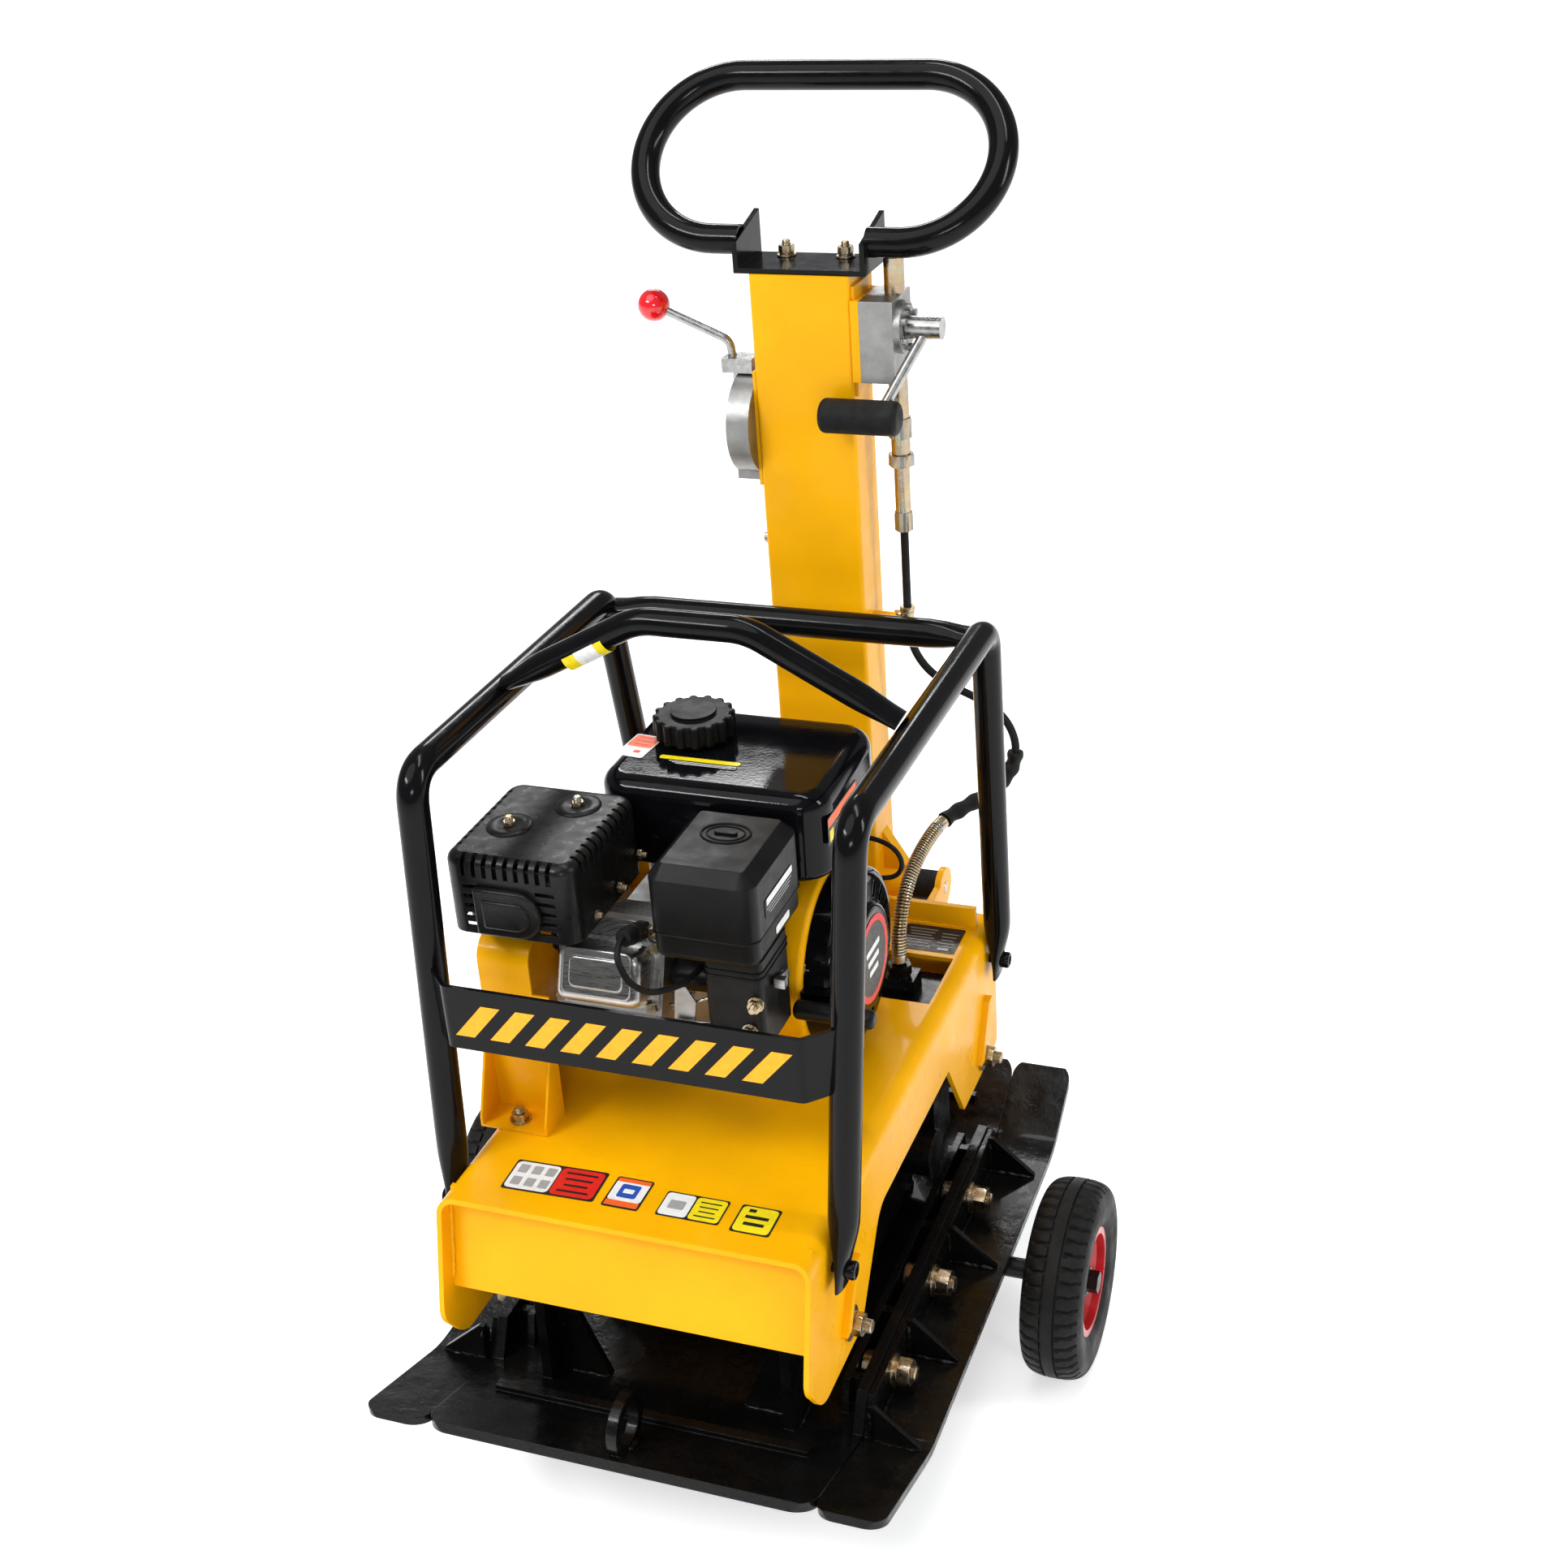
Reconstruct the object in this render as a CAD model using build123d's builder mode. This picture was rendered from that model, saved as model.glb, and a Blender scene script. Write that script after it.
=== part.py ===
"""Reversible plate compactor standing on its two-wheel transport set.

Millimetres, +Z up, +Y to the rear where the operator stands, +X to the machine's right.
Lengths along Y and Z are given from the machine's datum, the middle of the exciter bed on the
underside of the base plate. The datum stands datum_z above the ground.
"""

import os
from math import cos, pi, radians, sin, tan

from build123d import *

os.makedirs("parts", exist_ok=True)

# Datum of the machine inside the part's frame
datum_y = -59.23
datum_z = 135.0

# Base plate and its bolt-on side extensions
plate_width = 450.0
plate_thickness = 12.0
plate_flat_front = -253.0
plate_flat_rear = 304.0
plate_lip_front = (-421.0, 56.0)
plate_lip_rear = (409.0, 56.0)
plate_bend_radius = 130.0
extension_width = 76.0
extension_thickness = 10.0
rail_height = 60.0
rail_thickness = 12.0
extension_bolt_places = (-170.0, -14.0, 147.0)
extension_bolt_height = 35.0
gusset_places = (-256.0, -112.0, 57.0, 240.0)

# Exciter: two geared shafts in one housing
front_shaft_y = 20.0
rear_shaft_y = 140.0
shaft_height = 100.0
exciter_half_length = 140.0
exciter_radius = 78.0
exciter_wall = 12.0
shaft_radius = 17.5
bearing_radius = 40.0
running_gap = 0.05
gear_teeth = 40
gear_root = 57.5
gear_tip = 61.8
gear_tooth = 3.0
weight_radius = 52.0

# Deck that carries the engine, hung in four rubber mounts
deck_half_width = 212.0
deck_sheet = 6.0
deck_top = 314.0
deck_front = -337.0
deck_panel = -319.0
deck_rear = 362.0
deck_bend = 20.0
mount_front = (-242.0, 159.0)
mount_rear = (291.0, 148.0)
mount_radius = 25.0
mount_gap = 0.3
lug_inner = 140.0

# Handle pole and its hinge
hinge_y = 394.0
hinge_z = 327.0
hinge_pin_radius = 8.0
pole_half_width = 60.0
pole_front = 357.0
pole_rear = 431.0
pole_bottom = 345.0
pole_top = 1124.0
pole_wall = 4.0

# Handle loop
loop_tube = 17.0
loop_bend = 104.0
loop_half_straight = 110.5
loop_lean = 41.0
loop_start = (386.0, 1157.0)

# Guard frame
guard_tube = 17.0
guard_wall = 3.0
guard_top_x = 237.0
guard_foot_x = 229.5

# Engine
crank_y = 45.0
crank_z = 434.0
cylinder_x = -75.0
cylinder_tilt = 20.0
engine_floor = deck_top
fan_back = 60.0
fan_face = 112.0
blower_radius = 112.0
recoil_radius = 104.0
recoil_face = 150.0

# Belt drive
belt_x = -181.0
clutch_radius = 62.0
pulley_radius = 55.0
belt_depth = 13.0

# Wheels
wheel_y = 92.0
axle_z = -15.0
axle_radius = 12.5
wheel_centre_x = 372.0
wheel_radius = 120.0
tyre_half_width = 37.5
rim_radius = 62.0

# Hand pump and lever for the direction of travel
pump_x = 100.0
pump_y = 402.0
pump_bottom = 1003.0
pump_top = 1097.0
lever_y = 386.0
lever_z = 1062.0
pinion_teeth = 10
pinion_pitch = 12.0
rack_pitch = 2 * pi * pinion_pitch / pinion_teeth

# Throttle
throttle_y = 394.0
throttle_z = 940.0


def at(x, y, z):
    """A point given from the machine's datum."""
    return (x, y + datum_y, z + datum_z)


def side(x):
    """Upright plane across X: its own x is datum y, its own y is height."""
    return Plane(origin=at(x, 0, 0), x_dir=(0, 1, 0), z_dir=(1, 0, 0))


def front(y):
    """Upright plane facing the front: its own x is X, its own y is height."""
    return Plane(origin=at(0, y, 0), x_dir=(1, 0, 0), z_dir=(0, -1, 0))


def level(z):
    """Level plane: its own x is X, its own y is datum y."""
    return Plane(origin=at(0, 0, z))


def block(x0, x1, y0, y1, z0, z1, mode=Mode.ADD):
    """Box between two corners given from the datum."""
    with Locations(at((x0 + x1) / 2, (y0 + y1) / 2, (z0 + z1) / 2)):
        Box(x1 - x0, y1 - y0, z1 - z0, mode=mode)


def rod_x(x0, x1, y, z, radius, mode=Mode.ADD):
    """Round bar along X."""
    with BuildSketch(side(x0)) as outline:
        with Locations((y, z)):
            Circle(radius)
    extrude(outline.sketch, amount=x1 - x0, mode=mode)


def rod_z(x, y, z0, z1, radius, mode=Mode.ADD):
    """Upright round bar."""
    with BuildSketch(level(z0)) as outline:
        with Locations((x, y)):
            Circle(radius)
    extrude(outline.sketch, amount=z1 - z0, mode=mode)


def hexagon_x(x0, x1, y, z, across_flats, mode=Mode.ADD):
    """Six-sided bar along X."""
    with BuildSketch(side(x0)) as outline:
        with Locations((y, z)):
            RegularPolygon(radius=across_flats / 2, side_count=6, major_radius=False)
    extrude(outline.sketch, amount=x1 - x0, mode=mode)


def hexagon_z(x, y, z0, z1, across_flats):
    """Upright six-sided bar."""
    with BuildSketch(level(z0)) as outline:
        with Locations((x, y)):
            RegularPolygon(radius=across_flats / 2, side_count=6, major_radius=False)
    extrude(outline.sketch, amount=z1 - z0)


def outline_x(x0, x1, points, radii=None, mode=Mode.ADD):
    """Plate across X from its outline, a list of (y, z), with rounded corners if radii is given."""
    with BuildSketch(side(x0)) as outline:
        with BuildLine():
            if radii is None:
                Polyline(*points, close=True)
            else:
                FilletPolyline(*points, radius=radii, close=True)
        make_face()
    extrude(outline.sketch, amount=x1 - x0, mode=mode)


def slot_x(x0, x1, radius, mode=Mode.ADD):
    """Long round shape about both exciter shafts, along X."""
    with BuildSketch(side(x0)) as outline:
        with Locations(((front_shaft_y + rear_shaft_y) / 2, shaft_height)):
            SlotCenterToCenter(rear_shaft_y - front_shaft_y, 2 * radius)
    extrude(outline.sketch, amount=x1 - x0, mode=mode)


def cord_line(points):
    """Centre line of a cord: straight runs joined by arcs as large as the runs allow."""
    places = [Vector(*at(*p)) for p in points]
    runs = [b - a for a, b in zip(places, places[1:])]
    reaches = [0.45 * run.length for run in runs]
    reaches[0] *= 2
    reaches[-1] *= 2
    radii = []
    for step in range(len(runs) - 1):
        turn = radians(runs[step].get_angle(runs[step + 1]))
        radii.append(min(reaches[step], reaches[step + 1]) / tan(turn / 2))
    with BuildLine() as line:
        FilletPolyline(*places, radius=radii)
    return line.wires()[0]


def save(piece, name):
    piece.part.label = name
    export_step(piece.part, f"parts/{name}.step")
    boxes.append(piece.part.bounding_box())


boxes = []


# ---------------------------------------------------------------- base plate


def plate_section(thickness):
    """Side view of a flat plate whose two ends are turned up."""
    corner_front = (plate_flat_front, 0)
    corner_rear = (plate_flat_rear, 0)
    with BuildLine() as section:
        FilletPolyline(
            plate_lip_front, corner_front, corner_rear, plate_lip_rear, radius=plate_bend_radius
        )
        offset(amount=thickness, side=Side.LEFT)
    make_face(section.edges())


def round_plan(x0, x1, corner_radius):
    """Trims a plate to a plan with rounded corners."""
    length = plate_lip_rear[0] - plate_lip_front[0]
    middle = (plate_lip_rear[0] + plate_lip_front[0]) / 2
    with BuildSketch(level(-1)) as plan:
        with Locations(((x0 + x1) / 2, middle)):
            RectangleRounded(x1 - x0, length, corner_radius)
    extrude(plan.sketch, amount=plate_lip_rear[1] + 40, mode=Mode.INTERSECT)


def mount_lug(x_side, place):
    """Upright lug on the plate that one rubber mount is bolted to."""
    y, z = place
    outline = [(y - 36, 8), (y + 36, 8), (y + 30, z + 34), (y - 30, z + 34)]
    x0 = lug_inner if x_side > 0 else -lug_inner - 12
    outline_x(x0, x0 + 12, outline, [2, 2, 24, 24])
    rib = 60 * x_side
    with BuildSketch(front(y + 5)) as outline:
        with BuildLine():
            Polyline(
                (x_side * lug_inner, 8),
                (x_side * lug_inner - rib, 8),
                (x_side * lug_inner, z),
                close=True,
            )
        make_face()
    extrude(outline.sketch, amount=10)


with BuildPart() as base_plate:
    with BuildSketch(side(-plate_width / 2)):
        plate_section(plate_thickness)
    extrude(amount=plate_width)
    round_plan(-plate_width / 2, plate_width / 2, 28)
    for x_side in (-1, 1):
        rail_outer = plate_width / 2 * x_side
        rail_inner = rail_outer - rail_thickness * x_side
        low, high = sorted((rail_outer, rail_inner))
        outline_x(low, high, [(-262, 8), (296, 8), (262, rail_height), (-236, rail_height)])
        low, high = sorted((rail_outer - 27 * x_side, rail_outer - 36 * x_side))
        outline_x(low, high, [(-228, 8), (262, 8), (250, rail_height - 8), (-216, rail_height - 8)])
        for y in (-205, -92, 66, 225):
            low, high = sorted((rail_inner, rail_outer - 27 * x_side))
            block(low, high, y - 5, y + 5, 8, rail_height - 10)
        for y in extension_bolt_places:
            low, high = sorted((rail_inner, rail_outer))
            rod_x(low, high, y, extension_bolt_height, 10.5, Mode.SUBTRACT)
        for place in (mount_front, mount_rear):
            mount_lug(x_side, place)
    rod_x(-200, -160, front_shaft_y, shaft_height, pulley_radius + 5, Mode.SUBTRACT)
    block(-186, 186, -326, -314, 20, 44)
    block(-186, 186, 340, 350, 22, 46)
    tow_centre = (-378, 84)
    with BuildSketch(side(-6)):
        with Locations(tow_centre):
            Circle(35)
            Circle(23, mode=Mode.SUBTRACT)
    extrude(amount=12)
save(base_plate, "base_plate")


def extension(x_side):
    """One side extension: plate with turned-up ends, bolting flange and gussets."""
    inner = plate_width / 2
    low, high = sorted((inner * x_side, (inner + extension_width) * x_side))
    with BuildPart() as piece:
        with BuildSketch(side(low)):
            plate_section(extension_thickness)
        extrude(amount=high - low)
        round_plan(low, high, 22)
        low, high = sorted((inner * x_side, (inner + 8) * x_side))
        outline_x(low, high, [(-262, 2), (296, 2), (262, 56), (-236, 56)])
        for y in gusset_places:
            with BuildSketch(front(y + 3)):
                with BuildLine():
                    Polyline(
                        ((inner + 7) * x_side, 5),
                        ((inner + 66) * x_side, 5),
                        ((inner + 66) * x_side, 14),
                        ((inner + 14) * x_side, 60),
                        ((inner + 7) * x_side, 60),
                        close=True,
                    )
                make_face()
            extrude(amount=6)
        for y in extension_bolt_places:
            rod_x(low, high, y, extension_bolt_height, 10.5, Mode.SUBTRACT)
    return piece


save(extension(-1), "extension_left")
save(extension(1), "extension_right")

with BuildPart() as extension_bolts:
    inner = plate_width / 2
    for x_side in (-1, 1):
        for y in extension_bolt_places:
            z = extension_bolt_height
            low, high = sorted((x_side * (inner - 25.5), x_side * (inner + 10)))
            rod_x(low, high, y, z, 10)
            low, high = sorted((x_side * (inner - rail_thickness), x_side * (inner - 25.5)))
            hexagon_x(low, high, y, z, 30)
            low, high = sorted((x_side * (inner + 8), x_side * (inner + 11)))
            rod_x(low, high, y, z, 19)
            low, high = sorted((x_side * (inner + 11), x_side * (inner + 15)))
            rod_x(low, high, y, z, 16)
            low, high = sorted((x_side * (inner + 15), x_side * (inner + 28)))
            hexagon_x(low, high, y, z, 30)
save(extension_bolts, "extension_bolts")

# ------------------------------------------------------------------- exciter

with BuildPart() as exciter_housing:
    slot_x(-exciter_half_length, exciter_half_length, exciter_radius)
    foot_reach = exciter_radius - 14
    block(
        -exciter_half_length,
        exciter_half_length,
        front_shaft_y - foot_reach,
        rear_shaft_y + foot_reach,
        plate_thickness,
        45,
    )
    slot_x(
        -exciter_half_length, exciter_half_length, exciter_radius - exciter_wall, Mode.SUBTRACT
    )
    for x in (-90, 0, 90):
        rod_z(x, (front_shaft_y + rear_shaft_y) / 2, shaft_height + 70, shaft_height + 86, 14)
save(exciter_housing, "exciter_housing")

with BuildPart() as exciter_covers:
    for x_side in (-1, 1):
        low, high = sorted((x_side * exciter_half_length, x_side * (exciter_half_length + 10)))
        slot_x(low, high, exciter_radius)
        for y in (front_shaft_y, rear_shaft_y):
            inner, outer = sorted(
                (x_side * (exciter_half_length - 22), x_side * exciter_half_length)
            )
            rod_x(inner, outer, y, shaft_height, bearing_radius + 8)
            rod_x(inner, outer, y, shaft_height, bearing_radius, Mode.SUBTRACT)
    rod_x(
        -exciter_half_length - 10,
        -exciter_half_length,
        front_shaft_y,
        shaft_height,
        shaft_radius + 1,
        Mode.SUBTRACT,
    )
    rod_x(
        exciter_half_length, exciter_half_length + 10, rear_shaft_y, shaft_height, 8, Mode.SUBTRACT
    )
    bolt_circle = exciter_radius - 9
    for x_side in (-1, 1):
        face = x_side * (exciter_half_length + 10)
        low, high = sorted((face, face + 6.5 * x_side))
        for centre, first in ((front_shaft_y, 100), (rear_shaft_y, -80)):
            for step in range(5):
                angle = radians(first + 40 * step)
                y = centre + bolt_circle * cos(angle)
                z = shaft_height + bolt_circle * sin(angle)
                hexagon_x(low, high, y, z, 16)
save(exciter_covers, "exciter_covers")

with BuildPart() as exciter_bearings:
    for x_side in (-1, 1):
        low, high = sorted(
            (x_side * (exciter_half_length - 1), x_side * (exciter_half_length - 21))
        )
        for y in (front_shaft_y, rear_shaft_y):
            rod_x(low, high, y, shaft_height, bearing_radius - running_gap)
            rod_x(low, high, y, shaft_height, shaft_radius + running_gap, Mode.SUBTRACT)
save(exciter_bearings, "exciter_bearings")


def toothed_disc(x0, x1, y, z, root, tip, teeth, tooth_width, first_angle):
    """Gear blank along X with straight narrow teeth."""
    with BuildSketch(side(x0)) as outline:
        with Locations((y, z)):
            Circle(root)
            with PolarLocations((root + tip - 1) / 2, teeth, start_angle=first_angle):
                Rectangle(tip - root + 1, tooth_width)
    extrude(outline.sketch, amount=x1 - x0)


def half_weight(y, x0, x1):
    """Eccentric weight hanging below its shaft."""
    with BuildSketch(side(x0)) as outline:
        with Locations((y, shaft_height)):
            Circle(weight_radius)
        with Locations((y, shaft_height + weight_radius)):
            Rectangle(2 * weight_radius, 2 * weight_radius, mode=Mode.SUBTRACT)
    extrude(outline.sketch, amount=x1 - x0)


shaft_end = exciter_half_length - 2
with BuildPart() as exciter_front_shaft:
    rod_x(-205, shaft_end, front_shaft_y, shaft_height, shaft_radius)
    half_weight(front_shaft_y, -90, 70)
    toothed_disc(84, 104, front_shaft_y, shaft_height, gear_root, gear_tip, gear_teeth, gear_tooth, 0)
save(exciter_front_shaft, "exciter_front_shaft")

half_tooth = 180 / gear_teeth
with BuildPart() as exciter_rear_shaft:
    rod_x(-shaft_end, shaft_end, rear_shaft_y, shaft_height, shaft_radius)
    toothed_disc(
        84, 104, rear_shaft_y, shaft_height, gear_root, gear_tip, gear_teeth, gear_tooth, half_tooth
    )
    rod_x(92, shaft_end, rear_shaft_y, shaft_height, 6.2, Mode.SUBTRACT)
save(exciter_rear_shaft, "exciter_rear_shaft")

with BuildPart() as exciter_rear_weight:
    half_weight(rear_shaft_y, -90, 70)
    rod_x(-90, 70, rear_shaft_y, shaft_height, 26)
    rod_x(-90, 70, rear_shaft_y, shaft_height, shaft_radius + running_gap, Mode.SUBTRACT)
save(exciter_rear_weight, "exciter_rear_weight")


def pulley(y, z, radius, bore):
    """V-belt pulley about an axis along X, in line with the belt."""
    with BuildPart() as piece:
        with BuildSketch(Plane(origin=at(belt_x, y, z), x_dir=(1, 0, 0), z_dir=(0, -1, 0))):
            with BuildLine():
                Polyline(
                    (-15, bore),
                    (15, bore),
                    (15, radius),
                    (8.5, radius),
                    (5.5, radius - belt_depth),
                    (-5.5, radius - belt_depth),
                    (-8.5, radius),
                    (-15, radius),
                    close=True,
                )
            make_face()
        revolve(axis=Axis(at(belt_x, y, z), (1, 0, 0)))
    return piece


exciter_bore = shaft_radius + running_gap
save(pulley(front_shaft_y, shaft_height, pulley_radius, exciter_bore), "exciter_pulley")

with BuildPart() as shift_cylinder:
    face = exciter_half_length + 10
    block(74, 184, 154, 240, 196, 296)
    block(78, 180, 158, 236, 196, 292, Mode.SUBTRACT)
    rod_x(face, 194, rear_shaft_y, shaft_height, 30)
    block(158, 190, 150, 214, 92, 196)
    block(118, 190, 181, 214, 172, 196)
    block(118, 160, 181, 214, 190, 318)
    rod_z(139, 194, 318, 322, 13)
    hexagon_z(139, 194, 322, 334, 27)
    rod_x(face, 186, rear_shaft_y, shaft_height, 16, Mode.SUBTRACT)
save(shift_cylinder, "shift_cylinder")

with BuildPart() as shift_piston:
    rod_x(152, 168, rear_shaft_y, shaft_height, 16 - running_gap)
    rod_x(96, 152, rear_shaft_y, shaft_height, 6)
save(shift_piston, "shift_piston")

# ------------------------------------------------------------- rubber mounts

deck_inner = deck_half_width - deck_sheet
with BuildPart() as rubber_mounts:
    for x_side in (-1, 1):
        low, high = sorted((x_side * (lug_inner + 12), x_side * (deck_inner - mount_gap)))
        for y, z in (mount_front, mount_rear):
            rod_x(low, high, y, z, mount_radius)
save(rubber_mounts, "rubber_mounts")

# ------------------------------------------------------------- transport set

cradle_rail = 110.0
foot_y = -150.0
with BuildPart() as wheel_cradle:
    for x_side in (-1, 1):
        x = cradle_rail * x_side
        block(x - 15, x + 15, foot_y - 20, 150, -40, 0)
        block(x - 15, x + 15, foot_y - 15, foot_y + 15, -127, -38)
        rod_x(x - 15, x + 15, wheel_y, axle_z, axle_radius + 0.1, Mode.SUBTRACT)
    block(-cradle_rail, cradle_rail, -60, -30, -38, -8)
    block(-150, 150, foot_y - 20, foot_y + 20, -datum_z, -125)
save(wheel_cradle, "wheel_cradle")

with BuildPart() as wheel_axle:
    axle_end = wheel_centre_x + 24
    rod_x(-axle_end, axle_end, wheel_y, axle_z, axle_radius)
    for x_side in (-1, 1):
        collar = wheel_centre_x - 31
        low, high = sorted((x_side * (collar - 6), x_side * collar))
        rod_x(low, high, wheel_y, axle_z, 18)
        low, high = sorted((x_side * axle_end, x_side * (axle_end + 12)))
        hexagon_x(low, high, wheel_y, axle_z, 24)
        low, high = sorted((x_side * (axle_end - 3), x_side * axle_end))
        rod_x(low, high, wheel_y, axle_z, 17)
save(wheel_axle, "wheel_axle")


def ring_plane(x):
    """Half plane through the axle whose own x is X and own y is the radius."""
    return Plane(origin=at(x, wheel_y, axle_z), x_dir=(1, 0, 0), z_dir=(0, -1, 0))


def wheel_rim(x_side):
    centre = wheel_centre_x * x_side
    bore = axle_radius + running_gap
    with BuildPart() as piece:
        with BuildSketch(ring_plane(centre)):
            with BuildLine():
                Polyline(
                    (-30, bore),
                    (20, bore),
                    (20, 22),
                    (4, 24),
                    (4, 50),
                    (20, rim_radius - 4),
                    (30, rim_radius - 4),
                    (30, rim_radius + 4),
                    (26, rim_radius + 4),
                    (26, rim_radius),
                    (-26, rim_radius),
                    (-26, rim_radius + 4),
                    (-30, rim_radius + 4),
                    (-30, rim_radius - 4),
                    (-20, rim_radius - 4),
                    (-2, 50),
                    (-2, 24),
                    (-30, 22),
                    close=True,
                )
            make_face()
            if x_side < 0:
                mirror(about=Plane.YZ, mode=Mode.REPLACE)
        revolve(axis=Axis(at(centre, wheel_y, axle_z), (1, 0, 0)))
    return piece


def tyre(x_side):
    centre = wheel_centre_x * x_side
    bead = rim_radius + 0.05
    width = tyre_half_width
    with BuildPart() as piece:
        with BuildSketch(ring_plane(centre)):
            with BuildLine():
                Polyline((-25.8, rim_radius + 5), (-25.8, bead), (25.8, bead), (25.8, rim_radius + 5))
                Spline(
                    (25.8, rim_radius + 5),
                    (width - 1, 84),
                    (width - 1, 100),
                    (28, 114),
                    (0, wheel_radius),
                    (-28, 114),
                    (1 - width, 100),
                    (1 - width, 84),
                    (-25.8, rim_radius + 5),
                )
            make_face()
        revolve(axis=Axis(at(centre, wheel_y, axle_z), (1, 0, 0)))
    return piece


for x_side, name in ((-1, "left"), (1, "right")):
    save(wheel_rim(x_side), f"wheel_rim_{name}")
    save(tyre(x_side), f"tyre_{name}")

# ---------------------------------------------------------------------- deck

deck_length = deck_rear + 380
deck_outline = [
    (deck_front, 330),
    (-372, 172),
    (-335, 122),
    (-205, 122),
    (-126, 226),
    (145, 222),
    (205, 123),
    (deck_rear, 123),
    (deck_rear, 330),
]
deck_outline_radii = [1, 30, 40, 14, 40, 3, 3, 12, 1]

with BuildPart() as deck:
    with BuildSketch(front(deck_rear)):
        with Locations((0, (60 + deck_top) / 2)):
            Rectangle(2 * deck_half_width, deck_top - 60)
        fillet(vertices().group_by(Axis.Y)[-1], deck_bend)
        offset(amount=-deck_sheet, mode=Mode.SUBTRACT)
    extrude(amount=deck_length)
    outline_x(-240, 240, deck_outline, deck_outline_radii, Mode.INTERSECT)
    panel_lean = 0.2
    panel_drop = 118
    panel_foot = deck_panel - panel_lean * panel_drop
    outline_x(
        -deck_inner,
        deck_inner,
        [
            (deck_panel, deck_top - 1),
            (panel_foot, deck_top - panel_drop),
            (panel_foot + deck_sheet, deck_top - panel_drop),
            (deck_panel + deck_sheet, deck_top - 1),
        ],
    )
    block(-198, 198, 323, 331, 185, 343)
    for x in (-139, 131):
        with BuildSketch(side(x)):
            with Locations((hinge_y, hinge_z)):
                Circle(26)
            with Locations(((331 + hinge_y) / 2, hinge_z - 6)):
                Rectangle(hinge_y - 331 + 12, 36)
        extrude(amount=8)
        rod_x(x, x + 8, hinge_y, hinge_z, hinge_pin_radius + 0.02, Mode.SUBTRACT)
    block(66, 190, 146, 250, deck_top - 20, deck_top + 5, Mode.SUBTRACT)
    block(-199, -162, -40, 112, deck_top - 20, deck_top + 5, Mode.SUBTRACT)
    for x_side in (-1, 1):
        low, high = sorted((x_side * (deck_half_width - 1), x_side * (deck_half_width + 8)))
        for y, z in (mount_front, mount_rear):
            outline_x(
                low,
                high,
                [
                    (y - 30, z + 4),
                    (y - 16, z + 4),
                    (y + 24, z + 76),
                    (y + 10, z + 76),
                ],
            )
        low, high = sorted((x_side * deck_inner, x_side * (deck_half_width + 10)))
        for y, z in (mount_front, mount_rear):
            rod_x(low, high, y, z, 8.2, Mode.SUBTRACT)
save(deck, "deck")

# --------------------------------------------------------------- guard frame


def tube(points, radii, radius, wall=0, mode=Mode.ADD):
    """Round tube, or bar if wall is 0, along straight runs joined by bends."""
    with BuildLine():
        if radii:
            path = FilletPolyline(*[at(*p) for p in points], radius=radii)
        else:
            path = Line(at(*points[0]), at(*points[1]))
    with BuildSketch(Plane(origin=path @ 0, z_dir=path % 0)) as section:
        Circle(radius)
        if wall:
            Circle(radius - wall, mode=Mode.SUBTRACT)
    sweep(section.sketch, path=path, mode=mode)


hoop_bends = [78, 58]
cope_gap = 0.15


def hoop_route(x_side):
    """Centre line of one side hoop of the guard frame."""
    foot_x = guard_foot_x * x_side
    top_x = guard_top_x * x_side
    return [
        (foot_x, -276, 300),
        (top_x, -222, 757),
        (top_x, 262, 752),
        (foot_x, 330, 300),
    ]


def guard_hoop(x_side):
    """Bent side tube with a flattened strap at each foot."""
    with BuildPart() as piece:
        tube(hoop_route(x_side), hoop_bends, guard_tube, guard_wall)
        low, high = sorted((deck_half_width * x_side, (deck_half_width + 7) * x_side))
        for top_y, foot_y in ((-277, -283), (331, 338)):
            strap = [(top_y - 17, 312), (foot_y - 15, 246), (foot_y + 15, 246), (top_y + 17, 312)]
            outline_x(low, high, strap, [3, 13, 13, 3])
            rod_x(low, high, (top_y + foot_y) / 2, 270, 6.2, Mode.SUBTRACT)
    return piece


save(guard_hoop(-1), "guard_hoop_left")
save(guard_hoop(1), "guard_hoop_right")

with BuildPart() as guard_bars:
    tube([(-guard_top_x, 262, 742), (guard_top_x, 262, 742)], None, guard_tube, guard_wall)
    arch = [(-222, -20, 772), (-62, -20, 857), (62, -20, 857), (222, -20, 772)]
    tube(arch, [70, 70], 15, guard_wall)
    for x_side in (-1, 1):
        tube(hoop_route(x_side), hoop_bends, guard_tube + cope_gap, mode=Mode.SUBTRACT)
        low, high = sorted((guard_top_x * x_side, (guard_top_x + 40) * x_side))
        block(low, high, -60, 300, 700, 800, Mode.SUBTRACT)
save(guard_bars, "guard_bars")

with BuildPart() as guard_plate:
    with BuildSketch(level(474)):
        with BuildLine():
            FilletPolyline((-221, -258), (-195, -284), (195, -284), (221, -258), radius=6)
            offset(amount=5, side=Side.RIGHT)
        make_face()
    extrude(amount=75)
    for x_side in (-1, 1):
        tube(hoop_route(x_side), hoop_bends, guard_tube + cope_gap, mode=Mode.SUBTRACT)
save(guard_plate, "guard_plate")

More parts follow.
